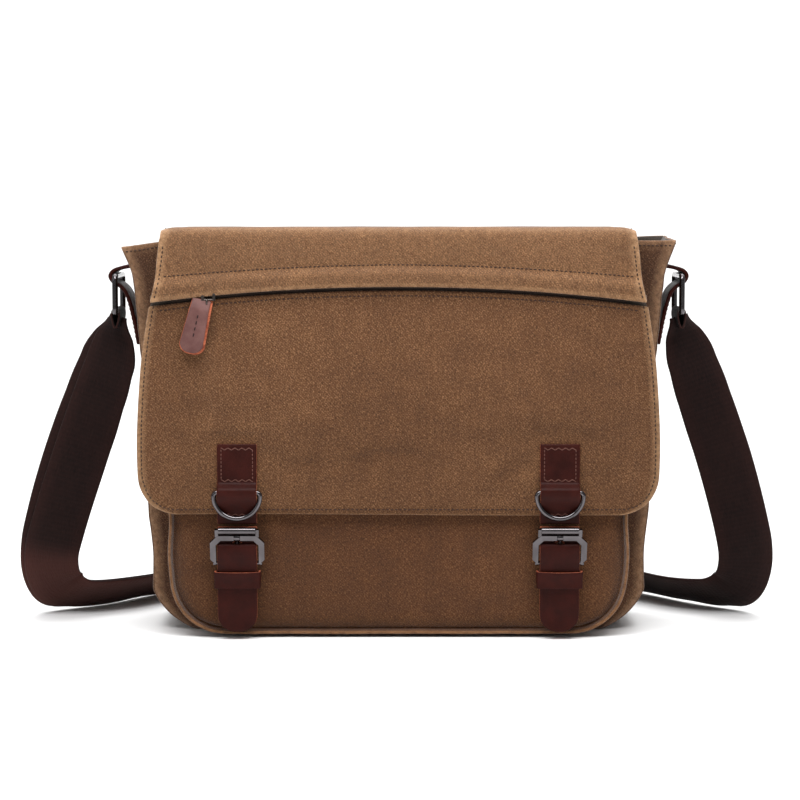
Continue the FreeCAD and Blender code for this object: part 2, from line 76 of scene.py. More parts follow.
# ---------------------------------------------------------------- shape of the bag, in millimetres
RIM_Z = 262.0
BACK_Y = 59.5
FRONT_Y = -17.0
BASE_RADIUS = 28.0
BASE_POWER = 1.45
BODY_HALF = [(0, 165.5), (24, 166.6), (45, 167.6), (80, 169.6), (150, 171.0), (205, 176.0), (225, 177.6),
             (243, 180.0), (252, 183.4), (263, 188.0)]

POCKET_TOP = 205.0
POCKET_BASE = 2.0
POCKET_HALF = 154.0
POCKET_RADIUS = 38.0
POCKET_Y = -43.6

FLAP_TOP = 273.0
FLAP_Y = -50.5
HEM_Z = 83.6
FLAP_RADIUS = 24.0
FLAP_HALF = [(84, 171.5), (113, 173.6), (140, 173.6), (180, 171.0), (206, 167.6), (225, 164.2), (236, 161.4),
             (255, 158.8), (273, 157.0), (300, 157.0)]
CLOSURE_X = 107.0
THREAD_PITCH = 2.9


def clamp(value, low=0.0, high=1.0):
    """The value, held between two limits."""
    return max(low, min(high, value))


def ease(value):
    """A smooth step from 0 to 1."""
    value = clamp(value)
    return value * value * (3 - 2 * value)


def bump(value, centre, width):
    """A smooth hill of height 1 about the centre."""
    return math.exp(-((value - centre) / width) ** 2)


def along_table(table, key):
    """Looks a value up in a table, smoothly between its rows."""
    keys = [row[0] for row in table]
    if key <= keys[0]:
        return table[0][1]
    if key >= keys[-1]:
        return table[-1][1]
    k = max(i for i in range(len(keys) - 1) if keys[i] <= key)
    x0, x1 = keys[k], keys[k + 1]
    y0, y1 = table[k][1], table[k + 1][1]
    before = table[max(k - 1, 0)]
    after = table[min(k + 2, len(table) - 1)]
    slope0 = (y1 - before[1]) / (x1 - before[0])
    slope1 = (after[1] - y0) / (after[0] - x0)
    t = (key - x0) / (x1 - x0)
    span = x1 - x0
    return ((2 * t**3 - 3 * t**2 + 1) * y0 + (t**3 - 2 * t**2 + t) * span * slope0
            + (3 * t**2 - 2 * t**3) * y1 + (t**3 - t**2) * span * slope1)


def body_half(z):
    """Half width of the bag's body at a height, with the soft unevenness of its lower sides."""
    return along_table(BODY_HALF, z) + 0.9 * math.sin(z / 12.0) * bump(z, 62, 42)


def flap_half(z):
    """Half width of the flap at a height."""
    return along_table(FLAP_HALF, z)


def crumple(a, b, seed, size=45.0):
    """Soft creases of washed cloth, about -1 to 1."""
    p = Vector((a / size, b / size, seed * 7.31))
    return noise.noise(p) + 0.45 * noise.noise(p * 2.3) + 0.2 * noise.noise(p * 5.1)


def smooth_path(points, count):
    """A smooth line through the points, sampled evenly along its length."""
    pts = np.array(points, float)
    ends = np.vstack([2 * pts[0] - pts[1], pts, 2 * pts[-1] - pts[-2]])
    fine = []
    for k in range(1, len(ends) - 2):
        p0, p1, p2, p3 = ends[k - 1:k + 3]
        for t in np.linspace(0, 1, 24, endpoint=False):
            fine.append(0.5 * (2 * p1 + (p2 - p0) * t + (2 * p0 - 5 * p1 + 4 * p2 - p3) * t**2
                               + (3 * p1 - p0 - 3 * p2 + p3) * t**3))
    fine.append(pts[-1])
    fine = np.array(fine)
    run = np.concatenate([[0], np.cumsum(np.linalg.norm(np.diff(fine, axis=0), axis=1))])
    want = np.linspace(0, run[-1], count)
    return np.array([[np.interp(w, run, fine[:, k]) for k in range(pts.shape[1])] for w in want])


def spread(low, high, count, edge=0.0):
    """Evenly spaced values, with one more just inside each end where edge is given."""
    values = list(np.linspace(low, high, count))
    if edge:
        values = [low, low + edge] + values[1:-1] + [high - edge, high]
    return values


def rounded_rows(top, low, radius, count, arc=9, edge=0.0, power=2.0):
    """Heights from top to low, with the last ones spaced for a round corner."""
    rows = list(np.linspace(top, low + radius, count))
    if edge:
        rows.insert(1, top - edge)
    rows += [low + radius * (1 - math.sin(k * math.pi / 2 / arc) ** (2 / power)) for k in range(1, arc + 1)]
    return rows


def rounded_half(half, z, low, radius, power=2.0):
    """Half width of an outline whose lower corners are round."""
    if z >= low + radius:
        return half
    drop = clamp(1 - (z - low) / radius)
    return half - radius + radius * (1 - drop**power) ** (1 / power)


# ---------------------------------------------------------------- materials
def linear(red, green, blue):
    """A colour given in 0 to 255, as the renderer wants it."""
    out = []
    for c in (red, green, blue):
        c /= 255
        out.append(c / 12.92 if c <= 0.04045 else ((c + 0.055) / 1.055) ** 2.4)
    return (*out, 1.0)


class Maker:
    """Adds nodes to one material and joins them up."""

    def __init__(self, name):
        self.material = bpy.data.materials.new(name)
        self.material.use_nodes = True
        self.tree = self.material.node_tree
        self.tree.nodes.clear()

    def node(self, kind, inputs=None, **settings):
        made = self.tree.nodes.new(kind)
        for key, value in settings.items():
            setattr(made, key, value)
        for key, value in (inputs or {}).items():
            if isinstance(value, bpy.types.NodeSocket):
                self.tree.links.new(value, made.inputs[key])
            else:
                made.inputs[key].default_value = value
        return made

    def cloth_place(self):
        return self.node("ShaderNodeUVMap", uv_map="Cloth").outputs[0]

    def place(self):
        return self.node("ShaderNodeTexCoord").outputs["Object"]

    def noise(self, place, scale, detail=2.0, rough=0.5, stretch=(1, 1, 1)):
        mapped = self.node("ShaderNodeMapping", {0: place, 3: [scale * s for s in stretch]})
        made = self.node("ShaderNodeTexNoise", {"Vector": mapped.outputs[0], "Scale": 1.0, "Detail": detail,
                                                "Roughness": rough})
        return made.outputs[0]

    def spread(self, value, low, high, to_low=0.0, to_high=1.0):
        made = self.node("ShaderNodeMapRange", {0: value, 1: low, 2: high, 3: to_low, 4: to_high})
        return made.outputs[0]

    def sum(self, kind, a, b):
        return self.node("ShaderNodeMath", {0: a, 1: b}, operation=kind).outputs[0]

    def mix(self, amount, a, b, blend="MIX"):
        made = self.node("ShaderNodeMix", {0: amount, 6: a, 7: b}, data_type="RGBA", blend_type=blend)
        return made.outputs[2]

    def finish(self, colour, roughness, height=None, distance=0.0002, strength=0.6, metallic=0.0, **fixed):
        inputs = {"Base Color": colour, "Roughness": roughness, "Metallic": metallic}
        if height is not None:
            made = self.node("ShaderNodeBump", {"Height": height, "Distance": distance, "Strength": strength})
            inputs["Normal"] = made.outputs[0]
        for key, value in fixed.items():
            inputs[key.replace("_", " ")] = value
        shader = self.node("ShaderNodeBsdfPrincipled", inputs)
        self.node("ShaderNodeOutputMaterial", {0: shader.outputs[0]})
        return self.material


def canvas_material(name, base, dark, pale):
    """Washed cotton canvas: uneven yarns both ways, faded blotches, pale flecks, and edges made paler by
    abrasion and by painted highlight.
    """
    m = Maker(name)
    cloth = m.cloth_place()
    weft = m.noise(cloth, 2100, 2, 0.6, (0.3, 1, 1))
    warp = m.noise(cloth, 2100, 2, 0.6, (1, 0.25, 1))
    slub = m.spread(m.noise(cloth, 420, 3, 0.6, (1, 0.07, 1)), 0.3, 0.7, -0.05, 0.05)
    twill = m.node("ShaderNodeTexWave", {"Vector": cloth, "Scale": 330.0, "Distortion": 1.6, "Detail": 2.0,
                                         "Detail Scale": 3.0}, bands_direction="DIAGONAL").outputs[1]
    threads = m.spread(m.sum("ADD", weft, warp), 0.74, 1.26)
    yarn = m.sum("ADD", m.sum("MULTIPLY", threads, 0.88), m.sum("MULTIPLY", twill, 0.16))
    fade = m.noise(m.place(), 60, 5, 0.65)
    cloud = m.noise(m.place(), 9, 3, 0.5)
    fleck = m.spread(m.noise(cloth, 1000, 3, 0.7, (0.5, 1, 1)), 0.64, 0.8)
    tone = m.sum("ADD", m.spread(fade, 0.3, 0.7, -0.09, 0.09), m.spread(cloud, 0.3, 0.7, -0.07, 0.07))
    tone = m.sum("ADD", m.sum("ADD", tone, slub), m.spread(yarn, 0.0, 1.0))
    colour = m.mix(tone, dark, base)
    colour = m.mix(m.spread(tone, 0.62, 1.25, 0.0, 0.62), colour, pale)
    colour = m.mix(m.sum("MULTIPLY", fleck, 0.2), colour, pale)
    # The point attribute pales the cloth: real abrasion at edges and hems, and painted highlight where edges
    # catch the light.
    wear = m.node("ShaderNodeAttribute", attribute_name="wear").outputs["Fac"]
    worn_and_lit = m.sum("MULTIPLY", wear, m.spread(m.noise(cloth, 260, 3, 0.6), 0.3, 0.62, 0.3, 1.0))
    colour = m.mix(m.sum("MULTIPLY", worn_and_lit, 0.8), colour, pale)
    height = m.sum("ADD", yarn, m.sum("MULTIPLY", fade, 1.4))
    return m.finish(colour, m.spread(fade, 0.3, 0.7, 0.86, 0.97), height, 0.0004, 0.75,
                    Sheen_Weight=0.22, Sheen_Roughness=0.45, Specular_IOR_Level=0.2)


def leather_material(name, dark, light, roughness=0.42):
    """Smooth waxed leather with a fine grain and scuffed patches."""
    m = Maker(name)
    place = m.place()
    cells = m.node("ShaderNodeTexVoronoi", {"Vector": place, "Scale": 1100.0}, feature="DISTANCE_TO_EDGE")
    grain = cells.outputs[0]
    rub = m.noise(place, 90, 4, 0.6)
    pore = m.noise(place, 1500, 2, 0.5)
    colour = m.mix(m.spread(rub, 0.3, 0.7), dark, light)
    colour = m.mix(m.spread(grain, 0.0, 0.2, 0.25, 0.0), colour, dark)
    height = m.sum("ADD", m.spread(grain, 0, 0.25), m.sum("MULTIPLY", pore, 0.6))
    return m.finish(colour, m.spread(rub, 0.3, 0.7, roughness - 0.08, roughness + 0.1), height, 0.00012, 0.5,
                    Specular_IOR_Level=0.1)


def cut_edge_material(name, dark, light):
    """The raw, fibrous edge of cut leather."""
    m = Maker(name)
    place = m.place()
    fibre = m.noise(place, 900, 3, 0.7)
    patch = m.noise(place, 160, 3, 0.6)
    colour = m.mix(m.spread(m.sum("ADD", fibre, patch), 0.75, 1.25), dark, light)
    return m.finish(colour, 0.85, fibre, 0.0003, 0.8, Specular_IOR_Level=0.2)


def webbing_material(name, dark, light):
    """Heavy woven webbing: cross ribs broken by lengthways yarns."""
    m = Maker(name)
    cloth = m.cloth_place()
    rib = m.node("ShaderNodeTexWave", {"Vector": cloth, "Scale": 95.0, "Distortion": 1.2, "Detail": 2.0,
                                       "Detail Scale": 6.0}, bands_direction="Y").outputs[1]
    yarn = m.noise(cloth, 900, 2, 0.6, (1, 0.2, 1))
    fade = m.noise(m.place(), 30, 3, 0.6)
    mixed = m.sum("ADD", m.sum("MULTIPLY", rib, 0.16), m.sum("MULTIPLY", yarn, 0.95))
    colour = m.mix(m.spread(mixed, 0.25, 0.95), dark, light)
    colour = m.mix(m.spread(fade, 0.35, 0.75, 0.0, 0.4), colour, light)
    # The point attribute pales the webbing: abraded selvages, and painted light on the upper face of the
    # strap where it lies on the floor.
    wear = m.node("ShaderNodeAttribute", attribute_name="wear").outputs["Fac"]
    rubbed_and_lit = tuple(min(c * 4.4, 1.0) for c in light[:3]) + (1.0,)
    colour = m.mix(m.sum("MULTIPLY", wear, 0.6), colour, rubbed_and_lit)
    return m.finish(colour, 0.82, mixed, 0.0005, 0.8, Sheen_Weight=0.03, Specular_IOR_Level=0.12)


def metal_material(name, colour, roughness):
    """Plated metal with faint handling marks."""
    m = Maker(name)
    marks = m.noise(m.place(), 420, 4, 0.7)
    tone = m.noise(m.place(), 90, 2, 0.5)
    dim = tuple(c * 0.72 for c in colour[:3]) + (1.0,)
    shade = m.mix(m.spread(tone, 0.3, 0.7), dim, colour)
    return m.finish(shade, m.spread(marks, 0.3, 0.75, roughness * 0.8, roughness * 1.5), marks, 0.00003, 0.25,
                    metallic=1.0)


def thread_material(name, colour):
    """Twisted sewing thread."""
    m = Maker(name)
    twist = m.noise(m.place(), 1800, 2, 0.5)
    dark = tuple(c * 0.6 for c in colour[:3]) + (1.0,)
    shade = m.mix(m.spread(twist, 0.35, 0.65), dark, colour)
    return m.finish(shade, 0.75, twist, 0.0002, 0.6, Specular_IOR_Level=0.3)


def lining_material(name, dark, light):
    """Thin plain-woven lining."""
    m = Maker(name)
    place = m.place()
    weave = m.noise(place, 1600, 2, 0.5)
    cloud = m.noise(place, 30, 3, 0.5)
    colour = m.mix(m.spread(m.sum("ADD", weave, cloud), 0.75, 1.3), dark, light)
    return m.finish(colour, 0.8, weave, 0.0002, 0.5, Sheen_Weight=0.1, Specular_IOR_Level=0.3)


# One canvas in three brightnesses, with light and shade painted in: the flap's copy is lighter for the light
# from above, the shaded copy is darker for the shade on the body's panels, sides and base, and the pocket's
# plain copy lies between.
CANVAS = canvas_material("canvas", linear(97, 60, 33), linear(48, 27, 13), linear(146, 106, 72))
SHADE_CANVAS = canvas_material("shaded canvas", linear(84, 53, 32), linear(44, 26, 15), linear(150, 114, 84))
LIT_FLAP_CANVAS = canvas_material("lit flap canvas", linear(113, 75, 45), linear(52, 31, 17), linear(176, 138, 102))
LINING = lining_material("lining", linear(44, 38, 33), linear(72, 63, 55))
LEATHER = leather_material("leather", linear(38, 9, 5), linear(54, 17, 11), 0.42)
PULL_LEATHER = leather_material("pull leather", linear(86, 57, 54), linear(110, 79, 75), 0.36)
CUT_EDGE = cut_edge_material("leather edge", linear(112, 50, 34), linear(186, 106, 74))
WEBBING = webbing_material("webbing", linear(10, 4, 4), linear(33, 16, 13))
GUNMETAL = metal_material("gunmetal", linear(99, 95, 97), 0.15)
ZIP_METAL = metal_material("zip metal", linear(92, 84, 80), 0.3)
# Canvas stitch thread: its own colour, darkened further by painted shade that stands for the shaded stitch
# holes.
THREAD_WITH_HOLE_SHADE = thread_material("thread with painted hole shade", linear(58, 38, 27))
LEATHER_THREAD = thread_material("leather thread", linear(104, 66, 56))
PULL_THREAD = thread_material("pull thread", linear(44, 24, 20))
ZIP_PLASTIC = thread_material("zip coil", linear(52, 38, 30))


# ---------------------------------------------------------------- mesh helpers
def add_object(name, verts, faces, materials, uvs=None, wear=None):
    """A mesh object from millimetre points, with its cloth coordinates in metres."""
    mesh = bpy.data.meshes.new(name)
    mesh.from_pydata([tuple(c * MM for c in v) for v in verts], [], faces)
    if uvs:
        layer = mesh.uv_layers.new(name="Cloth")
        for loop in mesh.loops:
            layer.data[loop.index].uv = [c * MM for c in uvs[loop.vertex_index]]
    # Per point paleness for the materials: real abrasion, and painted highlight on some edges and faces.
    if wear:
        mesh.attributes.new("wear", "FLOAT", "POINT").data.foreach_set("value", wear)
    mesh.polygons.foreach_set("use_smooth", [True] * len(mesh.polygons))
    for material in materials:
        mesh.materials.append(material)
    obj = bpy.data.objects.new(name, mesh)
    SCENE.collection.objects.link(obj)
    return obj


def bake_modifiers(obj):
    """Turns an object's modifiers into its mesh."""
    bpy.context.view_layer.update()
    done = bpy.data.meshes.new_from_object(obj.evaluated_get(bpy.context.evaluated_depsgraph_get()))
    obj.modifiers.clear()
    obj.data = done
    return obj


def thicken(obj, thickness, levels=1, inner=0, rim=0):
    """Gives a sheet its thickness on its inner side, and rounds it."""
    solid = obj.modifiers.new("thickness", "SOLIDIFY")
    solid.thickness = thickness * MM
    solid.offset = -1
    solid.material_offset = inner
    solid.material_offset_rim = rim
    solid.use_even_offset = False
    if levels:
        soft = obj.modifiers.new("soft", "SUBSURF")
        soft.levels = levels
    return bake_modifiers(obj)


def grid(rows, cols, place, wear=None, closed=False, skip=None):
    """Points, faces, cloth coordinates and wear of a sheet laid out in rows and columns."""
    points = [[Vector(place(r, c)) for c in cols] for r in rows]
    middle = len(cols) // 2
    down = [0.0]
    for a, b in zip(points, points[1:]):
        down.append(down[-1] + (b[middle] - a[middle]).length)
    verts, uvs, worn_and_lit = [], [], []
    for i, row in enumerate(points):
        run = [0.0]
        for a, b in zip(row, row[1:]):
            run.append(run[-1] + (b - a).length)
        for j, p in enumerate(row):
            verts.append(p)
            uvs.append((run[j] - run[middle], -down[i]))
            worn_and_lit.append(wear(rows[i], cols[j]) if wear else 0.0)
    wide = len(cols)
    faces = []
    for i in range(len(rows) - 1):
        for j in range(wide if closed else wide - 1):
            if skip and skip(0.5 * (rows[i] + rows[i + 1]), 0.5 * (cols[j] + cols[min(j + 1, wide - 1)])):
                continue
            k = (j + 1) % wide
            faces.append((i * wide + j, (i + 1) * wide + j, (i + 1) * wide + k, i * wide + k))
    return verts, faces, uvs, worn_and_lit


def sheet(name, rows, cols, place, thickness, materials, levels=1, inner=0, rim=0, settled=None, **more):
    """A sheet of cloth or leather with thickness. A settled one is simulated as cloth first."""
    verts, faces, uvs, worn_and_lit = grid(rows, cols, place, **more)
    obj = add_object(name, verts, faces, materials, uvs, worn_and_lit)
    if settled:
        settle(obj, **settled)
    return thicken(obj, thickness, levels, inner, rim)


def tube(points, radius, sides=10, cap=True):
    """Points and faces of a round rod along a line."""
    verts, faces = [], []
    points = [Vector(p) for p in points]
    for i, p in enumerate(points):
        ahead = points[min(i + 1, len(points) - 1)] - points[max(i - 1, 0)]
        ahead.normalize()
        side = ahead.cross(Vector((0.31, 0.17, 0.93))).normalized()
        other = ahead.cross(side)
        for k in range(sides):
            a = 2 * math.pi * k / sides
            verts.append(p + (side * math.cos(a) + other * math.sin(a)) * radius)
    for i in range(len(points) - 1):
        for k in range(sides):
            j = (k + 1) % sides
            faces.append((i * sides + k, i * sides + j, (i + 1) * sides + j, (i + 1) * sides + k))
    if cap:
        faces.append(tuple(range(sides - 1, -1, -1)))
        faces.append(tuple(range(len(verts) - sides, len(verts))))
    return verts, faces


def gather(parts):
    """Joins several lists of points and faces."""
    verts, faces = [], []
    for more_verts, more_faces in parts:
        base = len(verts)
        verts += more_verts
        faces += [tuple(base + k for k in f) for f in more_faces]
    return verts, faces


def stitch(centre, ahead, normal, length, radius):
    """One stitch: a short fat thread that dives into the cloth at both ends."""
    side = ahead.cross(normal).normalized()
    verts, faces = [], []
    sides = 6
    steps = (-1.0, -0.72, 0.0, 0.72, 1.0)
    for step in steps:
        size = radius * (0.25 if abs(step) > 0.9 else 0.85 if abs(step) > 0.5 else 1.0)
        dip = radius * (0.9 if abs(step) > 0.9 else 0.15 if abs(step) > 0.5 else 0.0)
        middle = centre + ahead * (step * length / 2) - normal * dip
        for k in range(sides):
            a = 2 * math.pi * k / sides
            verts.append(middle + (side * math.cos(a) + normal * math.sin(a)) * size)
    for i in range(len(steps) - 1):
        for k in range(sides):
            j = (k + 1) % sides
            faces.append((i * sides + k, i * sides + j, (i + 1) * sides + j, (i + 1) * sides + k))
    return verts, faces


def surface_of(obj):
    """A search tree of a finished piece, in millimetres."""
    verts = [v.co / MM for v in obj.data.vertices]
    return BVHTree.FromPolygons(verts, [tuple(p.vertices) for p in obj.data.polygons])


def sew(name, obj, lines, aim, material, pitch=THREAD_PITCH, length=2.0, radius=0.44):
    """Rows of stitches along lines, each laid on the piece where the aim direction meets it."""
    tree = surface_of(obj)
    aim = Vector(aim).normalized()
    parts = []
    for line in lines:
        total = sum((Vector(b) - Vector(a)).length for a, b in zip(line, line[1:]))
        samples = smooth_path(line, max(int(total / pitch), 2) + 1)
        for a, b in zip(samples, samples[1:]):
            a, b = Vector(a), Vector(b)
            spot = (a + b) / 2
            where, normal, _, _ = tree.ray_cast(spot - aim * 30, aim, 70)
            if where is None:
                continue
            if normal.dot(aim) > 0:
                normal = -normal
            ahead = (b - a) - normal * (b - a).dot(normal)
            parts.append(stitch(where + normal * radius * 0.35, ahead.normalized(), normal, length, radius))
    verts, faces = gather(parts)
    return add_object(name, verts, faces, [material])


def fit(obj, body, slot, *nodes):
    """Puts a finished piece on its body and hides the CAD nodes that it stands for. The slot argument is not
    used.
    """
    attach(obj, body)
    if nodes:
        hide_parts(*nodes)
    return obj


def mirrored(build):
    """Runs a builder for the left (-1) and the right (1) side."""
    return [build(side, "left" if side < 0 else "right") for side in (-1, 1)]


# ---------------------------------------------------------------- cloth simulation
SETTLING_FRAMES = 14


def settle(obj, pinned, pressure, cap, dip=0.25):
    """Lets a finished sheet bag and crease under a little pressure, with its sewn edges held.

    pinned gives how firmly each point (in millimetres) is held. A point moves no further than
    cap, and no deeper than dip below where it was.
    """
    before = [v.co.copy() for v in obj.data.vertices]
    outward = [v.normal.copy() for v in obj.data.vertices]
    group = obj.vertex_groups.new(name="sewn")
    for vertex, spot in zip(obj.data.vertices, before):
        group.add([vertex.index], clamp(pinned(*(spot / MM))), "REPLACE")
    cloth = obj.modifiers.new("cloth", "CLOTH")
    kit = cloth.settings
    kit.vertex_group_mass = "sewn"
    kit.quality = 5
    kit.mass = 0.25
    kit.tension_stiffness = kit.compression_stiffness = 18
    kit.shear_stiffness = 8
    kit.bending_stiffness = 3.0
    kit.use_pressure = True
    kit.uniform_pressure_force = pressure
    kit.effector_weights.gravity = 0.35
    kit.shrink_min = -0.02
    cloth.collision_settings.use_collision = False
    cloth.point_cache.frame_start = 1
    cloth.point_cache.frame_end = SETTLING_FRAMES
    for step in range(1, SETTLING_FRAMES + 1):
        SCENE.frame_set(step)
    graph = bpy.context.evaluated_depsgraph_get()
    after = [v.co.copy() for v in obj.evaluated_get(graph).data.vertices]
    obj.modifiers.remove(cloth)
    obj.vertex_groups.clear()
    SCENE.frame_set(1)
    for vertex, old, new, normal in zip(obj.data.vertices, before, after, outward):
        move = new - old
        depth = -move.dot(normal)
        if depth > dip * MM:
            move += normal * (depth - dip * MM)
        if move.length > cap * MM:
            move *= cap * MM / move.length
        vertex.co = old + move


# ---------------------------------------------------------------- main compartment
def front_rim_lift(u):
    """How far the front rim stands above RIM_Z; its left corner droops."""
    return 2.8 - 4.4 * ease((-u - 0.8) / 0.2)


def back_rim_lift(u):
    """How far the back rim stands above RIM_Z; its left side droops."""
    return 1.5 - 3.5 * ease((-u - 0.3) / 0.5) + 3.2 * ease((u - 0.6) / 0.4)


def body_front_place(outward, base_y, seed, puff, rim_lift):
    """A front or back panel: x from its outline, y from soft puffing and creases."""
    def place(z, u):
        half = rounded_half(body_half(z), z, 0.0, BASE_RADIUS, BASE_POWER)
        x = u * half
        inner = (1 - u**4) * ease(z / 30) * ease((RIM_Z + 4 - z) / 60 + 0.15)
        y = base_y + outward * (puff * inner + 0.9 * inner * crumple(x, z, seed))
        y -= outward * 3.0 * ease((abs(u) - 0.95) / 0.05) ** 2
        return x, y, z + rim_lift(u) * ease((z - 235) / 27)
    return place


def make_panel(name, outward, base_y, seed, puff, node, rim_lift):
    """The canvas of the bag's front or back."""
    rows = rounded_rows(RIM_Z, 0.0, BASE_RADIUS, 34, 9, 2.5, BASE_POWER)
    cols = spread(-1, 1, 40, 0.012)
    if outward > 0:
        cols = cols[::-1]
    place = body_front_place(outward, base_y, seed, puff, rim_lift)

    def held(x, y, z):
        half = rounded_half(body_half(z), z, 0.0, BASE_RADIUS, BASE_POWER)
        edge = min(half - abs(x), z, RIM_Z - z + 3)
        return 1 - 0.96 * ease((edge - 2) / 30)

    # Pale side edges: painted highlight where the rounded corner between panel and side catches the light,
    # with some abrasion; the top few millimetres under the rim are paler too.
    def wear(z, u):
        return 0.5 * ease((z - RIM_Z + 5) / 4) + 0.9 * ease((abs(u) - 0.955) / 0.03)

    obj = sheet(name, rows, cols, place, 2.2, [SHADE_CANVAS, LINING], wear=wear, inner=1,
                settled=dict(pinned=held, pressure=0.9, cap=2.6))
    return fit(obj, "root", "canvas", node)


def strip_outline(half_of, top, low, radius, side_rows, arc=8, base_rows=40, power=2.0):
    """The outline of a U shaped strip: down the left, along the base, and up the right."""
    points = []
    for z in np.linspace(top, low + radius, side_rows):
        points.append((-half_of(z), z))
    for k in range(1, arc + 1):
        a = math.pi / 2 * k / arc
        z = low + radius * (1 - math.sin(a) ** (2 / power))
        points.append((-half_of(z) + radius - radius * math.cos(a) ** (2 / power), z))
    flat = half_of(low) - radius
    base = [(x, low) for x in np.linspace(-flat, flat, base_rows)]
    right = [(-x, z) for x, z in reversed(points)]
    return points + base[1:-1] + right


def outline_frames(points):
    """Position, outward direction and run along an outline in the XZ plane."""
    out = []
    run = 0.0
    for i, (x, z) in enumerate(points):
        a = points[max(i - 1, 0)]
        b = points[min(i + 1, len(points) - 1)]
        tangent = Vector((b[0] - a[0], 0, b[1] - a[1])).normalized()
        if i:
            run += math.hypot(x - points[i - 1][0], z - points[i - 1][1])
        out.append((Vector((x, 0, z)), Vector((tangent.z, 0, -tangent.x)), run))
    return out


def make_gusset():
    """The strip that runs down one side, under the base and up the other."""
    frames = outline_frames(strip_outline(body_half, RIM_Z, 0.0, BASE_RADIUS, 34, power=BASE_POWER))
    cols = ([0, 0.02, 0.06] + list(np.linspace(0.12, 0.88, 15)) + [0.94, 0.98, 1.0])[::-1]

    def place(row, v):
        spot, out, run = frames[row]
        side = -1 if spot.x < 0 else 1
        upright = ease((spot.z - 8) / 40)
        mid = math.sin(math.pi * v)
        seam = 0.6 * (bump(v, 0.03, 0.018) + bump(v, 0.97, 0.018))
        seam -= 0.8 * (bump(v, 0, 0.01) + bump(v, 1, 0.01))
        shift = seam + upright * mid * (-1.6 + 1.5 * crumple(run, v * 76, 3.0 + side, 34))
        shift -= upright * 2.2 * bump(v, 0.5, 0.06) * ease((spot.z - 60) / 60)
        if side < 0:
            shift -= 17 * mid * ease((spot.z - 236) / 26)
        else:
            shift += 1.5 * mid * ease((spot.z - 236) / 26)
        shift += 2.5 * bump(spot.z, 244 + 6 * v, 6) * mid * (0.4 - 1.0 * (side > 0))
        y = FRONT_Y + 2.2 + v * (BACK_Y - FRONT_Y - 4.4)
        front, back = front_rim_lift(side), back_rim_lift(side)
        lift = (front + (back - front) * ease(v)) * ease((spot.z - 235) / 27)
        z = max(spot.z + out.z * shift * (1 - ease((spot.z - 60) / 60)), 0.0)
        return spot.x + out.x * shift, y, z + lift

    def held(x, y, z):
        edge = min(y - FRONT_Y - 2, BACK_Y - 2 - y, z - 6, RIM_Z - 4 - z)
        return 1 - 0.94 * ease(edge / 14)

    # Pale seam edges: painted highlight where the corners between side and panels catch the light, with some
    # abrasion; the top few millimetres under the rim are paler too.
    def wear(row, v):
        z = frames[row][0].z
        return 0.6 * ease((z - RIM_Z + 5) / 4) + 0.35 * (bump(v, 0.0, 0.03) + bump(v, 1.0, 0.03))

    obj = sheet("side_and_base_cloth", range(len(frames)), cols, place, 2.2, [SHADE_CANVAS, LINING],
                wear=wear, inner=1, settled=dict(pinned=held, pressure=-0.6, cap=2.2, dip=1.2))
    return fit(obj, "root", "canvas", "gusset_left", "gusset_right", "bottom_panel")


def make_lining():
    """The lining of the main compartment: a sleeve with a closed base."""
    low = 6.0
    top = RIM_Z - 2
    heights = list(np.linspace(top, low + 10, 24)) + [low + 5, low + 1.5, low]
    around = []
    steps = 64
    for k in range(steps):
        a = 2 * math.pi * k / steps
        around.append((math.copysign(abs(math.cos(a)) ** 0.28, math.cos(a)),
                       math.copysign(abs(math.sin(a)) ** 0.28, math.sin(a))))

    def place(z, k):
        cx, cy = around[k]
        shrink = 5.0 + 4 * ease((low + 12 - z) / 12)
        half = rounded_half(body_half(z), z + 2, 0.0, BASE_RADIUS, BASE_POWER) - shrink
        depth = (BACK_Y - FRONT_Y) / 2 - 3.6
        fold = 1.2 * crumple(k * 6, z, 9.0, 30) * ease((top - z) / 30)
        pinch = 16 * ease((z - 236) / 26) * (1 - abs(cy) ** 2) if cx < 0 else 0
        return cx * (half + fold) + pinch, (BACK_Y + FRONT_Y) / 2 + cy * (depth + 0.5 * fold), z

    verts, faces, uvs, worn_and_lit = grid(heights, range(steps), place, closed=True)
    faces = [tuple(reversed(f)) for f in faces]
    faces.append(tuple(len(heights) * steps - steps + k for k in range(steps)))
    obj = add_object("main_lining", verts, faces, [LINING], uvs, worn_and_lit)
    thicken(obj, 0.6, 1)
    fit(obj, "root", "lining", "lining", "base_board")


front_panel = make_panel("main_front_cloth", -1, FRONT_Y, 1.0, 2.0, "main_front_panel", front_rim_lift)
back_panel = make_panel("back_cloth", 1, BACK_Y, 2.0, 3.0, "back_panel", back_rim_lift)
gusset = make_gusset()
make_lining()


# ---------------------------------------------------------------- front pocket
def pocket_half(z):
    """Half width of the front pocket at a height."""
    return POCKET_HALF - 0.8 + 0.8 * ease(z / 120) + 0.8 * math.sin(z / 8.0 + 1.0) * bump(z, 58, 34)


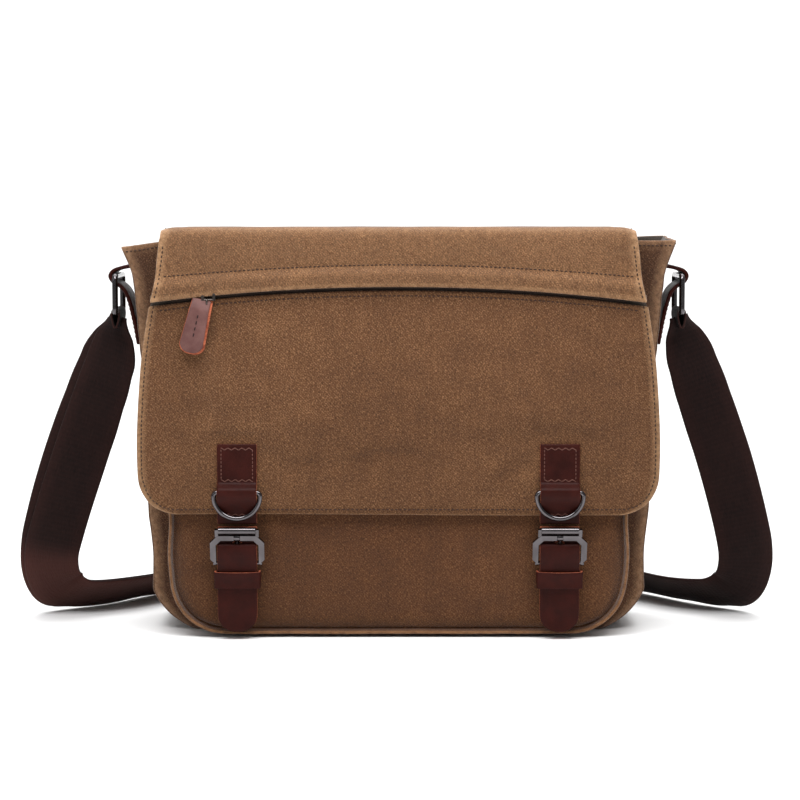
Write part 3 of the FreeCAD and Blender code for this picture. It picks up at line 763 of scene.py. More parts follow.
def make_pocket_front():
    """The pocket's front, held firmly behind the closure straps."""
    rows = rounded_rows(POCKET_TOP, POCKET_BASE + 4.2, POCKET_RADIUS - 3.5, 30, edge=2.0)
    cols = spread(-1, 1, 46, 0.01)

    def place(z, u):
        half = rounded_half(pocket_half(z) - 2.9, z, POCKET_BASE + 4.2, POCKET_RADIUS - 3.5)
        x = u * half
        edge = min((1 - abs(u)) * half, z - POCKET_BASE - 2.0)
        swell = ease((edge + 2) / 11) * (5.0 + 1.0 * bump(z, 35, 30) - 0.8 * bump(abs(x), CLOSURE_X, 20))
        y = POCKET_Y + 5.0 - swell - 0.45 * ease(edge / 25) * crumple(x, z, 4.0, 38)
        return x, max(y, -45.3), z

    def wear(z, u):
        return 0.1 * ease((POCKET_BASE + 9 - z) / 4)

    def held(x, y, z):
        edge = min(pocket_half(z) - abs(x), z - POCKET_BASE, POCKET_TOP - z + 4)
        strap = bump(abs(x), CLOSURE_X, 18) * ease((84 - z) / 10)
        return 1 - 0.95 * ease((edge - 6) / 20) * (1 - 0.8 * strap)

    obj = sheet("pocket_front_cloth", rows, cols, place, 1.6, [CANVAS, LINING], wear=wear, inner=1,
                settled=dict(pinned=held, pressure=0.5, cap=1.0))
    return fit(obj, "root", "canvas", "pocket_front_panel")


def make_pocket_flange():
    """The upstanding seam round the pocket's front, with its groove inside."""
    frames = outline_frames(strip_outline(pocket_half, POCKET_TOP, POCKET_BASE, POCKET_RADIUS, 44, 12, 60))
    seam_width = 3.1
    profile = [(seam_width, -41.8), (seam_width, -43.6), (2.7, -44.8), (2.0, -45.2), (1.2, -44.8),
               (0.6, -43.4), (0.2, -41.5), (0.0, -39.6), (-1.6, -39.3), (-4.2, -39.5)]

    def place(row, col):
        spot, out, run = frames[row]
        shift, y = profile[col]
        wave = 0.35 * crumple(run, 0, 5.0, 20)
        shift -= seam_width
        x = spot.x + out.x * (shift + wave * (col > 0))
        return x, y + 0.2 * wave, max(spot.z + out.z * (shift + wave), 1.0)

    obj = sheet("pocket_seam", range(len(frames)), range(len(profile)), place, 1.2, [CANVAS],
                wear=lambda row, col: 0.8 if 2 <= col <= 4 else 0.0)
    fit(obj, "root", "canvas", "pocket_flange")


def make_pocket_gusset():
    """The strip behind the seam that joins the pocket's front to the bag."""
    inset = 4.0
    outline = strip_outline(lambda z: pocket_half(z) - inset, POCKET_TOP, POCKET_BASE + 2,
                            POCKET_RADIUS - inset, 34, 10, 50)
    frames = outline_frames(outline)
    cols = ([0, 0.04] + list(np.linspace(0.12, 0.88, 9)) + [0.96, 1.0])[::-1]

    def place(row, v):
        spot, out, run = frames[row]
        upright = ease((spot.z - 10) / 40)
        fullness = math.sin(math.pi * v) * (2.2 + 1.3 * crumple(run, v * 27, 6.0, 24))
        shift = upright * (fullness - 1.5 * bump(v, 0.55, 0.12))
        y = -38.8 + v * (FRONT_Y + 38.2)
        return spot.x + out.x * shift, y, max(spot.z + out.z * shift, 0.8)

    obj = sheet("pocket_side_cloth", range(len(frames)), cols, place, 1.6, [CANVAS, LINING],
                wear=lambda r, c: 0.3 * bump(c, 0, 0.06), inner=1)
    fit(obj, "root", "canvas", "pocket_gusset")


pocket_front = make_pocket_front()
make_pocket_flange()
make_pocket_gusset()


# ---------------------------------------------------------------- flap
def fold_line(x):
    """Height of the placket's lower fold: an arch that droops to the sides."""
    return 235.6 - 10.5 * (abs(x) / 163) ** 2.1


def top_stitch(x):
    """Height of the row of stitches above the placket."""
    return 249.3 - 8.0 * (abs(x) / 156) ** 1.8


def flap_line():
    """The outer cloth in the YZ plane: up the back, over the top and down to the zip."""
    crown = 0.9
    return [(61.6, 249.0), (61.8, 258.0), (60.6, 265.5), (56.5, 270.0), (50.0, FLAP_TOP + 0.2),
            (30, FLAP_TOP - crown), (0, FLAP_TOP - 1.5 * crown), (-28, FLAP_TOP - 0.4),
            (-42.0, FLAP_TOP + 1.0), (-47.6, FLAP_TOP - 0.4), (-50.6, FLAP_TOP - 4.5), (-51.2, 259.0),
            (-51.3, 252.0)]


SEAM_Y = 26.0               # where the flap's back cloth meets its upper cloth


def over_top_place(line):
    """The flap's cloth over the top of the bag, row by row along the line."""
    def place(row, u):
        y, z = line[row]
        half = flap_half(z) if y < 0 else 157.0 + 1.2 * ease((y - 20) / 40)
        x = u * half
        edge = 1 - abs(u)
        dent = 0.8 * crumple(x, y + z, 11.0, 42) * (0.6 if z > 268 else 1.0)
        droop = 2.4 * ease((0.035 - edge) / 0.035) * (z > 268)
        up = 1.0 if z > 266 else 0.0
        out_y = -0.7 * dent if y < -46 else (0.7 * dent if y > 56 else 0.0)
        return x, y + out_y, z + up * dent * 0.8 - droop
    return place


def make_back_cloth(line, cols):
    """The part of the flap that is sewn to the bag's back and reaches over the top."""
    def wear(row, u):
        y = line[row][0]
        return 0.8 * ease((abs(u) - 0.978) / 0.015) + 0.35 * bump(y, -47, 5) + 0.3 * bump(y, 60, 4)

    return sheet("flap_back_cloth", range(len(line)), cols, over_top_place(line), 1.8,
                 [LIT_FLAP_CANVAS, LINING], wear=wear, inner=1)


def make_upper_cloth(line, cols):
    """Top, front edge and placket in one sheet, whose lower edge folds under."""
    rows = [("line", i) for i in range(len(line))]
    rows += [("drop", t) for t in (0.1, 0.22, 0.34, 0.46, 0.56, 0.66, 0.76, 0.86, 0.94, 1.0)]
    rows += [("turn", t) for t in (0.25, 0.5, 0.75, 1.0)]
    rows += [("under", t) for t in (0.5, 1.0)]
    over = over_top_place(line)
    last_z = line[-1][1]

    def place(index, u):
        kind, t = rows[index]
        if kind == "line":
            return over(t, u)
        start = Vector(over(len(line) - 1, u))
        low = fold_line(u * 162)
        half = flap_half(low) - 0.9
        x = u * (flap_half(last_z + (low - last_z) * t) - 0.9 * t if kind == "drop" else half)
        stitch_z = top_stitch(x)
        if kind == "drop":
            z = last_z + (low - last_z) * t
            step = ease((stitch_z + 0.5 - z) / 7.0)
            y = start.y * (1 - ease(t * 3)) - 51.2 * ease(t * 3)
            y -= 3.9 * step + 0.5 * bump(z, stitch_z - 6, 3.5) - 0.35 * bump(z, stitch_z, 0.9)
            y -= 0.5 * crumple(x, z, 12.0, 30) * step
            return x, y, z
        y0 = -55.1 - 0.5 * crumple(x, low, 12.0, 30)
        if kind == "turn":
            a = math.pi * t
            return x, y0 + 0.75 * (1 - math.cos(a)), low - 0.9 * math.sin(a)
        return x, y0 + 1.5, low + 4.5 * t

    def wear(index, u):
        kind, t = rows[index]
        edge = 0.8 * ease((abs(u) - 0.978) / 0.015)
        if kind == "line":
            return edge + 0.35 * bump(line[t][0], -47, 5)
        return edge + (0.5 if kind == "turn" else 0.16 + 0.25 * (kind == "drop" and t > 0.9))

    return sheet("flap_upper_cloth", range(len(rows)), cols, place, 0.9, [LIT_FLAP_CANVAS, LINING],
                 wear=wear, inner=1)


def lower_top(x):
    """Height of the lower cloth's top edge, just under the placket."""
    return fold_line(x) - 3.0


def make_lower_cloth():
    """The big lower face of the flap. Its top edge lies under the placket."""
    steps = [0, 0.02, 0.045, 0.06, 0.075] + list(np.linspace(0.11, 1, 34))
    rows = [("main", t) for t in steps]
    arc = 10
    rows += [("arc", k / arc) for k in range(1, arc + 1)]
    cols = spread(-1, 1, 52, 0.011)

    def place(index, u):
        kind, t = rows[index]
        bottom = HEM_Z + FLAP_RADIUS
        if kind == "main":
            top = lower_top(u * 165)
            z = top + (bottom - top) * t
        else:
            z = HEM_Z + FLAP_RADIUS * (1 - math.sin(t * math.pi / 2))
        half = rounded_half(flap_half(z), z, HEM_Z, FLAP_RADIUS)
        x = u * half
        sag = (kind == "arc") * t * (0.3 + 0.5 * math.sin(x / 60))
        edge = min((1 - abs(u)) * half, z - HEM_Z)
        swell = 2.4 * bump(z, 158, 26) * (1 - (abs(u)) ** 3)
        creases = 0.55 * crumple(x, z, 13.0, 44) * ease(edge / 22)
        keep_clear = 1 - 0.85 * bump(abs(x), CLOSURE_X, 17) * ease((140 - z) / 8)
        below = lower_top(x) - z
        lip = 1.0 * ease(1 - below / 9) - 0.3 * bump(below, 3.6, 0.9)
        y = FLAP_Y - swell - creases * keep_clear * (0.35 if z > 186 else 1.0) - lip
        curl = 1.1 * ease((4.5 - edge) / 4.5)
        return x, min(y + curl, -49.3), z - sag

    def wear(index, u):
        kind, t = rows[index]
        hem = 0.45 * ease((t - 0.82) / 0.15) if kind == "arc" else 0.0
        return 0.9 * ease((abs(u) - 0.98) / 0.013) + hem

    def held(x, y, z):
        edge = min(flap_half(z) - abs(x), z - HEM_Z, lower_top(x) - 12 - z)
        beside_patch = ease((CLOSURE_X - 16 - abs(x)) / 8) + ease((abs(x) - CLOSURE_X - 16) / 8)
        return 1 - 0.95 * ease((edge - 3) / 24) * clamp(beside_patch + ease((z - 133) / 8))

    obj = sheet("flap_lower_cloth", range(len(rows)), cols, place, 1.6, [LIT_FLAP_CANVAS, LINING], wear=wear,
                inner=1, settled=dict(pinned=held, pressure=1.0, cap=2.2))
    return fit(obj, "flap_front", "canvas", "flap_lower_panel")


flap_path = smooth_path(flap_line(), 64)
flap_cols = spread(-1, 1, 44, 0.012)
flap_seam = min(range(len(flap_path)), key=lambda i: abs(flap_path[i][0] - SEAM_Y))
flap_back = make_back_cloth(flap_path[:flap_seam + 1], flap_cols)
flap_upper = make_upper_cloth(flap_path[flap_seam:], flap_cols)
flap_lower = make_lower_cloth()


def flap_hinge_back(obj):
    """Bakes a piece's placement into its mesh."""
    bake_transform(obj)


def flap_hinge_front(obj):
    """Bakes a piece's placement into its mesh."""
    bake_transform(obj)


def make_flap_lining():
    """The lining behind the flap's front."""
    rows = list(np.linspace(263.0, HEM_Z + FLAP_RADIUS, 26))
    rows += [HEM_Z + 0.6 + FLAP_RADIUS * (1 - math.sin(k * math.pi / 20)) for k in range(1, 11)]
    cols = spread(-1, 1, 30, 0.012)

    def place(z, u):
        half = rounded_half(flap_half(z), z, HEM_Z + 0.6, FLAP_RADIUS) - 1.0
        edge = min((1 - abs(u)) * half, z - HEM_Z)
        y = -47.9 + 0.5 * crumple(u * half, z, 14.0, 40) * ease(edge / 20) - 0.8 * ease((5 - edge) / 5)
        return u * half, y, z

    obj = sheet("flap_inner_lining", rows, cols[::-1], place, 0.8, [LINING], levels=1)
    fit(obj, "flap_front", "lining", "flap_lining")


make_flap_lining()


COIL_Y = -50.9
TAPE_Y = -49.6
TAPE_WIDTH = 16.0


def make_zip_chain():
    """Two rows of coils on a tape, following the placket's arch."""
    coil_pitch = 1.5
    parts = []
    for x in np.arange(-149, 149.1, coil_pitch):
        middle = fold_line(x) + 0.6
        for up in (1, -1):
            points = []
            for a in np.linspace(0, 2 * math.pi, 7):
                z = middle + up * (1 + 0.9 * math.cos(a))
                points.append((x + 0.5 * math.cos(a), COIL_Y - 0.7 * math.sin(a), z))
            parts.append(tube(points, 0.34, 5, False))
    verts, faces = gather(parts)
    coil = add_object("zip_chain", verts, faces, [ZIP_PLASTIC])
    fit(coil, "flap_front", "zip_coil", "zip_coil", "zip_end_stops")

    def place(row, x):
        return x, TAPE_Y, fold_line(x) + TAPE_WIDTH * (0.5 - row)

    tape = sheet("zip_tape", spread(0, 1, 5), np.linspace(-150, 150, 50), place, 0.5, [ZIP_PLASTIC], levels=0)
    fit(tape, "flap_front", "zip_tape", "zip_tape_upper", "zip_tape_lower")


make_zip_chain()


# ---------------------------------------------------------------- seams sewn on the canvas
def flap_edge_row(inset):
    """The row that runs down one side of the lower flap, round its corners and up the other."""
    heights = np.linspace(fold_line(160) - 3, HEM_Z + FLAP_RADIUS, 12)
    left = [(-flap_half(z) + inset, FLAP_Y, z) for z in heights]
    radius = FLAP_RADIUS - inset
    corner_x = flap_half(HEM_Z + 12) - FLAP_RADIUS
    for k in range(1, 8):
        a = math.pi / 2 * k / 8
        left.append((-corner_x - radius * math.cos(a), FLAP_Y, HEM_Z + FLAP_RADIUS - radius * math.sin(a)))
    base = [(x, FLAP_Y, HEM_Z + inset) for x in np.linspace(-corner_x, corner_x, 24)]
    right = [(-x, y, z) for x, y, z in reversed(left)]
    return left + base + right


def riding(obj, body):
    """Puts a piece on a body; it has no CAD node of its own."""
    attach(obj, body)
    return obj


INTO_FRONT = (0, 1, 0)
INTO_BACK = (0, -1, 0)
zip_edge = [(x, FLAP_Y, fold_line(x) - 6.7) for x in np.linspace(-158, 158, 40)]
riding(sew("flap_edge_stitches", flap_lower, [flap_edge_row(3.4)], INTO_FRONT, THREAD_WITH_HOLE_SHADE), "flap_front")
riding(sew("zip_edge_stitches", flap_lower, [zip_edge], INTO_FRONT, THREAD_WITH_HOLE_SHADE), "flap_front")
upper_rows = [[(x, -52, top_stitch(x)) for x in np.linspace(-155, 155, 40)]]
for side in (-1, 1):
    heights = np.linspace(262, fold_line(160) + 1.5, 14)
    upper_rows.append([(side * (flap_half(z) - 3.2), -52, z) for z in heights])
upper_front = sew("placket_stitches", flap_upper, upper_rows, INTO_FRONT, THREAD_WITH_HOLE_SHADE)
top_rows = [[(side * 153.8, y, FLAP_TOP) for y in np.linspace(SEAM_Y - 2, -43, 10)] for side in (-1, 1)]
upper_top = sew("flap_top_stitches", flap_upper, top_rows, (0, 0, -1), THREAD_WITH_HOLE_SHADE)
back_rows = [[(x, 61, z) for x in np.linspace(-154, 154, 10)] for z in (252.5, 257.5)]
back_sewn = sew("flap_back_stitches", flap_back, back_rows, INTO_BACK, THREAD_WITH_HOLE_SHADE)
for piece in (flap_back, back_sewn):
    flap_hinge_back(piece)
for piece in (flap_upper, upper_front, upper_top):
    flap_hinge_front(piece)
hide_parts("flap_top_panel", "flap_upper_band", "zip_placket")


def rim_row(y, rim_lift):
    """The row under the main compartment's rim, which rises and droops with it."""
    return [(x, y, RIM_Z - 3.6 + rim_lift(x / 187)) for x in np.linspace(-184, 184, 30)]


pocket_row = [(x, POCKET_Y, POCKET_TOP - 5) for x in np.linspace(-146, 146, 10)]
for name, obj, row, aim in (
        ("front_rim_stitches", front_panel, rim_row(FRONT_Y, front_rim_lift), INTO_FRONT),
        ("back_rim_stitches", back_panel, rim_row(BACK_Y, back_rim_lift), INTO_BACK),
        ("pocket_rim_stitches", pocket_front, pocket_row, INTO_FRONT)):
    riding(sew(name, obj, [row], aim, THREAD_WITH_HOLE_SHADE), "root")
for side, word in ((-1, "left"), (1, "right")):
    lift = (front_rim_lift(side) + back_rim_lift(side)) / 2
    rim = [(side * 190, y, RIM_Z - 3.4 + lift) for y in np.linspace(FRONT_Y + 3, BACK_Y - 3, 8)]
    riding(sew("side_rim_stitches_" + word, gusset, [rim], (-side, 0, 0), THREAD_WITH_HOLE_SHADE), "root")


# ---------------------------------------------------------------- closures
LEATHER_AND_EDGE = [LEATHER, CUT_EDGE]


def strip(name, middle, stations, thickness, skip=None):
    """A leather strip: stations are (y, z, half width) along its front face."""
    def place(row, u):
        y, z, half = stations[row]
        return middle + u * half, y, z

    cols = [-1, -0.93, -0.6, -0.17, 0.17, 0.6, 0.93, 1]
    return sheet(name, range(len(stations)), cols, place, thickness, LEATHER_AND_EDGE, rim=1, skip=skip)


def make_closure(side, word):
    """The patch, strap, tab and keeper of one buckle."""
    x = side * CLOSURE_X
    half = 13.2
    body = "closure_" + word

    # patch: flat, round the D-ring's bar, flat again
    patch_y = -52.9
    stations = [(-52.7, 131.0, half), (patch_y, 130.2, half)]
    stations += [(patch_y, z, half) for z in np.linspace(127, 106.5, 6)]
    for z in (105.4, 104.4, 103.4, 102.2, 101.0, 99.6, 98.0, 96.0, 94.0, 92.0, 90.0, 88.0, 86.2, 85.0):
        rise = ease((105.6 - z) / 5.0) * (1 - ease((97.0 - z) / 12.5))
        stations.append((patch_y - 5.6 * rise, z, half))
    stations += [(patch_y, z, half) for z in (83.5, 81.5, 79.5)] + [(-52.8, 78.2, half), (-52.6, 77.4, half)]
    patch = strip("leather_patch_" + word + "_cover", x, stations, 1.9)
    fit(patch, "flap_front", "leather", "leather_patch_" + word)
    seam = 10.4
    rows = [[(x + edge, -53, 127.6), (x + edge, -53, 107.2)] for edge in (-seam, seam)]
    for low, high in ((127.0, 128.4), (105.9, 107.3), (83.2, 84.4)):
        points = np.linspace(x - seam, x + seam, 10)
        for k in range(9):
            ends = (low, high) if k % 2 else (high, low)
            rows.append([(points[k], -53, ends[0]), (points[k + 1], -53, ends[1])])
    sewn = sew("patch_stitches_" + word, patch, rows, INTO_FRONT, LEATHER_THREAD, 2.4, 1.9, 0.33)
    riding(sewn, "flap_front")

    # closure strap: recess under the roller, lip with the prong's hole, bulge over the heel bar, round tail
    profile = [(-52.6, 75.6), (-52.0, 74.0), (-51.7, 70.5), (-51.6, 67.4), (-51.8, 66.0), (-53.3, 65.3),
               (-54.8, 64.7), (-55.6, 63.6), (-55.9, 61.0), (-55.8, 57.0), (-55.2, 53.0), (-54.2, 49.0),
               (-53.7, 45.0), (-53.5, 38.0), (-53.5, 32.0), (-53.9, 26.0), (-53.7, 21.0)]
    stations = [(y, z, half) for y, z in profile]
    tail, tip = 18.2, 5.2
    for a in np.linspace(0.1, 0.97, 9):
        down = math.sin(a * math.pi / 2)
        width = half * math.sqrt(max(1 - down ** 2.6, 0.02))
        stations.append((-53.6 + 0.5 * a, tail - (tail - tip) * down, width))

    def hole(row, u):
        z = 0.5 * (stations[int(row)][1] + stations[min(int(row) + 1, len(stations) - 1)][1])
        return abs(u) < 0.1 and 64.2 < z < 65.9

    strap = strip("closure_strap_" + word + "_cover", x, stations, 1.9, skip=hole)
    fit(strap, body, "leather", "closure_strap_" + word)

    # tab behind the strap, with its loop round the heel bar, open in the middle for the prong
    tab_half = half - 0.8
    stations = [(-51.2, z, tab_half) for z in (48.6, 47.5, 42, 34, 26, 20, 16, 14.4)]
    tab = strip("buckle_tab_" + word + "_cover", x, stations, 3.6)
    turns = [math.radians(a) for a in np.linspace(100, -60, 9)]
    wrap = [(-49.7 - 2.7 * math.cos(a), 51.0 + 2.9 * math.sin(a), tab_half) for a in turns]
    loop = strip("buckle_tab_" + word + "_loop", x, wrap, 1.1, skip=lambda row, u: abs(u) < 0.1)
    fit(tab, body, "leather", "buckle_tab_" + word)
    fit(loop, body, "leather")

    # keeper: a loop round strap and tab, standing a little proud
    low, high = 34.6, 46.0
    sides = 32
    outer = []
    for k in range(sides):
        a = 2 * math.pi * k / sides
        cx = math.copysign(abs(math.cos(a)) ** 0.25, math.cos(a))
        cy = math.copysign(abs(math.sin(a)) ** 0.25, math.sin(a))
        outer.append((x + 15.4 * cx, -50.9 + 5.2 * cy * (1.0 if cy < 0 else 0.8)))

    def keep(z, k):
        px, py = outer[k]
        crown = (1 - ((px - x) / 15.4) ** 2) * (py < -51)
        flare = ease((z - 38) / 8)
        return px + 0.3 * flare * (px - x) / 15, py - (0.4 + 1.3 * flare) * crown, z - 0.5 * crown * flare

    rows = [high, high - 0.6, high - 3, 40, low + 3, low + 0.6, low]
    verts, faces, uvs, worn_and_lit = grid(rows, range(sides), keep, closed=True)
    keeper = add_object("keeper_" + word + "_cover", verts, faces, LEATHER_AND_EDGE, uvs, worn_and_lit)
    thicken(keeper, 1.9, 1, 0, 1)
    fit(keeper, body, "leather", "keeper_" + word)


mirrored(make_closure)


# ---------------------------------------------------------------- zip pull
def make_pull():
    """Two layers of leather, sewn together and hung from the slider by a wire link."""
    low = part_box("zip_pull_leather")[0] / MM
    lean = math.radians(13.5)
    pivot = Vector((-129.0, 0, 226.9))
    length = pivot.z - low.z - 1.4
    tip = 7.4
    round_part = tip / length
    rows = [0.0, 0.03, 0.1, 0.18, 0.26, 0.4, 0.55, 0.7]
    rows += [1 - round_part * (1 - math.sin(a)) for a in np.linspace(0, math.pi / 2, 7)]
    cols = [-1, -0.92, -0.6, -0.2, 0.2, 0.6, 0.92, 1]
    layers = []
    for layer, name, leather in ((0, "front", PULL_LEATHER), (1, "back", CUT_EDGE)):
        def place(t, u):
            wide = 6.1 + 2.0 * t
            if t > 1 - round_part:
                past = (t - 1 + round_part) / round_part
                wide += tip * math.sqrt(max(1 - past ** 2, 0.0)) - tip + 0.4
            grow = 0.9 * layer
            a, b = u * (wide + grow), -t * (length + grow)
            x = pivot.x + a * math.cos(lean) + b * math.sin(lean)
            z = pivot.z - a * math.sin(lean) + b * math.cos(lean)
            y = -54.5 - 2.7 * ease(t / 0.2) - 0.5 * math.sin(math.pi * t) + 1.35 * layer
            return x + 0.5 * layer, y + 0.3 * abs(u) ** 4, z

        obj = sheet("zip_pull_" + name, rows, cols, place, 1.3, [leather, CUT_EDGE], rim=1)
        layers.append(fit(obj, "pull", "leather"))
    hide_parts("zip_pull_leather")
    down = Vector((-math.sin(lean), 0, -math.cos(lean)))
    line = [tuple(pivot + down * (length * t) + Vector((0, -57, 0))) for t in (0.27, 0.72)]
    riding(sew("pull_stitches", layers[0], [line], INTO_FRONT, PULL_THREAD, 3.4, 2.5, 0.45), "pull")
    turns = np.linspace(0, 2 * math.pi, 17)
    ring = [(-126.0, -54.3 + 1.3 * math.cos(a), 225.0 + 1.8 * math.sin(a)) for a in turns]
    verts, faces = tube(ring, 0.6, 8, False)
    link = add_object("zip_link_wire", verts, faces, [ZIP_METAL])
    fit(link, "pull", "gunmetal", "zip_pull_link")


make_pull()


# ---------------------------------------------------------------- strap tabs and shoulder strap
RING_Y = 20.0
EDGED_COLS = [-1, -0.95, -0.5, 0, 0.5, 0.95, 1]


def folded_band(name, side, path, half, thickness, material, cols, **more):
    """A flat band across the bag's side, which follows a path of (x, z) points."""
    def place(row, u):
        x, z = path[row]
        return side * x, RING_Y + side * u * half, z

    return sheet(name, range(len(path)), cols, place, thickness, [material], **more)


def sew_side(name, obj, side, lines, body):
    """Rows of the leatherworker's thread, seen from the bag's side."""
    riding(sew(name, obj, lines, (-side, 0, 0), LEATHER_THREAD, 3.0, 2.2, 0.4), body)


def make_strap_tab(side, word):
    """The leather tab that is folded over the ring's upper bar and sewn to the side."""
    path = smooth_path([(179.6, 248.4), (184.5, 247.8), (190.0, 246.6), (195.2, 244.6), (197.9, 240.2),
                        (195.6, 235.4), (191.0, 232.6), (187.2, 228.6), (184.6, 222.0), (182.4, 213.0),
                        (180.2, 202.0), (178.8, 193.0)], 44)
    obj = folded_band("strap_tab_" + word + "_cover", side, path, 17.0, 2.6, LEATHER, EDGED_COLS)
    fit(obj, "root", "leather", "strap_tab_" + word)
    edges = (RING_Y - 14, RING_Y + 14)
    lines = [[(side * 186, y, 228), (side * 183, y, 197)] for y in edges]
    lines.append([(side * 183, y, 197) for y in edges])
    sew_side("tab_stitches_" + word, obj, side, lines, "root")


mirrored(make_strap_tab)

LEFT_ROUTE = [
    ((-193.0, 20.0, 212.0), (0.6, -0.8, 0.0)),
    ((-194.6, 20.0, 204.0), (0.92, -0.39, 0.0)),
    ((-199.5, 20.0, 190.0), (0.94, -0.33, 0.1)),
    ((-208.0, 20.0, 168.0), (0.98, -0.15, 0.1)),
    ((-218.0, 19.5, 140.0), (1.0, 0.0, 0.05)),
    ((-228.0, 19.0, 112.0), (1.0, 0.05, 0.1)),
    ((-239.0, 22.0, 76.0), (0.96, 0.1, 0.25)),
    ((-247.0, 28.0, 43.0), (0.8, -0.2, 0.5)),
    ((-243.0, 40.0, 19.0), (0.45, -0.4, 0.75)),
    ((-226.0, 52.0, 12.6), (0.55, -0.6, 0.58)),
    ((-200.0, 70.0, 12.6), (0.67, -0.5, 0.56)),
    ((-177.0, 103.0, 12.6), (0.67, -0.5, 0.56)),
    ((-148.0, 140.0, 12.6), (0.55, -0.6, 0.58)),
    ((-106.0, 168.0, 13.0), (0.35, -0.72, 0.6)),
    ((-55.0, 182.0, 13.4), (0.15, -0.8, 0.6)),
    ((-22.0, 185.0, 13.4), (0.05, -0.8, 0.6)),
]
RIGHT_ROUTE = [
    ((193.0, 20.0, 212.0), (-0.6, -0.8, 0.0)),
    ((194.6, 20.0, 204.0), (-0.92, -0.39, 0.0)),
    ((199.5, 20.0, 190.0), (-0.94, -0.33, 0.1)),
    ((207.0, 20.0, 168.0), (-0.98, -0.15, 0.1)),
    ((216.5, 19.5, 140.0), (-1.0, 0.0, 0.05)),
    ((226.0, 18.5, 112.0), (-1.0, 0.05, 0.1)),
    ((236.0, 20.0, 76.0), (-0.96, 0.1, 0.25)),
    ((244.0, 27.0, 43.0), (-0.8, -0.2, 0.5)),
    ((240.0, 40.0, 19.0), (-0.45, -0.4, 0.75)),
    ((224.0, 54.0, 12.6), (-0.55, -0.6, 0.58)),
    ((200.0, 75.0, 12.6), (-0.67, -0.5, 0.56)),
    ((178.0, 108.0, 12.6), (-0.67, -0.5, 0.56)),
    ((150.0, 142.0, 12.6), (-0.55, -0.6, 0.58)),
    ((108.0, 168.0, 13.0), (-0.35, -0.72, 0.6)),
    ((52.0, 182.0, 13.4), (-0.15, -0.8, 0.6)),
    ((0.0, 186.0, 13.4), (0.0, -0.8, 0.6)),
    ((-20.0, 185.2, 13.4), (0.05, -0.8, 0.6)),
]


def nurbs_line(name, route):
    """The smooth line whose control points are the route's points, in metres."""
    curve = bpy.data.curves.new(name, "CURVE")
    curve.dimensions = "3D"
    spline = curve.splines.new("NURBS")
    spline.points.add(len(route) - 1)
    for point, (spot, _) in zip(spline.points, route):
        point.co = (*(c * MM for c in spot), 1.0)
    spline.order_u = 3
    spline.use_endpoint_u = True
    spline.resolution_u = 12
    obj = bpy.data.objects.new(name, curve)
    SCENE.collection.objects.link(obj)
    bpy.context.view_layer.update()
    mesh = bpy.data.meshes.new_from_object(obj.evaluated_get(bpy.context.evaluated_depsgraph_get()))
    points = [v.co.copy() for v in mesh.vertices]
    bpy.data.objects.remove(obj)
    bpy.data.meshes.remove(mesh)
    return points


# the webbing's cut end, as (across, off its middle)
BAND_SECTION = [(-19, 0), (-18.6, 0.75), (-17.6, 1.1), (-9, 1.1), (0, 1.1), (9, 1.1), (17.6, 1.1),
                (18.6, 0.75), (19, 0), (18.6, -0.75), (17.6, -1.1), (9, -1.1), (0, -1.1), (-9, -1.1),
                (-17.6, -1.1), (-18.6, -0.75)]


def band(name, line, route, first, last, shift):
    """A flat band of webbing that follows the line between two of its points.

    shift(i) gives how far it lies across and off the line there.
    """
    wide = [Vector(w).normalized() for _, w in route]
    verts, uvs, worn_and_lit = [], [], []
    run = 0.0
    for i in range(first, last):
        spot = line[i] / MM
        ahead = (line[min(i + 1, len(line) - 1)] - line[max(i - 1, 0)]).normalized()
        if i > first:
            run += (spot - line[i - 1] / MM).length
        t = i / (len(line) - 1) * (len(route) - 1)
        k = min(int(t), len(route) - 2)
        across = wide[k].lerp(wide[k + 1], ease(t - k))
        across = (across - ahead * across.dot(ahead)).normalized()
        normal = ahead.cross(across)
        aside, off = shift(i)
        gathered = 0.6 + 0.4 * ease(i / 24)
        for a, b in BAND_SECTION:
            ripple = 0.25 * math.sin(run / 9 + a / 12)
            verts.append(spot + across * (a * gathered + aside) + normal * (b + off + ripple))
            uvs.append((a, run))
            # Pale selvages from abrasion, and painted light on the upper face where the strap lies low on the
            # floor, facing the light.
            worn_and_lit.append(0.2 * (abs(a) > 17) + 0.9 * (b > 0) * ease((58 - spot.z) / 22))
    count = len(BAND_SECTION)
    faces = []
    for i in range(last - first - 1):
        for k in range(count):
            j = (k + 1) % count
            faces.append((i * count + k, i * count + j, (i + 1) * count + j, (i + 1) * count + k))
    faces.append(tuple(range(count - 1, -1, -1)))
    faces.append(tuple(range(len(verts) - count, len(verts))))
    return add_object(name, verts, faces, [WEBBING], uvs, worn_and_lit)


def make_strap(side, word, route):
    """One half of the shoulder strap. The left half is doubled back on itself through the slider."""
    line = nurbs_line("strap_line_" + word, route)
    steps = len(line)
    obj = band("shoulder_strap_" + word + "_webbing", line, route, 0, steps, lambda i: (0.0, 0.0))
    extra = []
    if side < 0:
        def beside(i):
            start = ease(i / 26)
            aside = 6.0 * start * (1 - 0.5 * ease((i - 0.3 * steps) / (0.2 * steps)))
            return aside, 0.6 + 1.7 * start

        extra.append(band("strap_return_" + word + "_webbing", line, route, 2, steps - 12, beside))
    bpy.context.view_layer.update()
    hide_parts("shoulder_strap_" + word)
    for piece in [obj] + extra:
        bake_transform(piece)


make_strap(-1, "left", LEFT_ROUTE)
make_strap(1, "right", RIGHT_ROUTE)


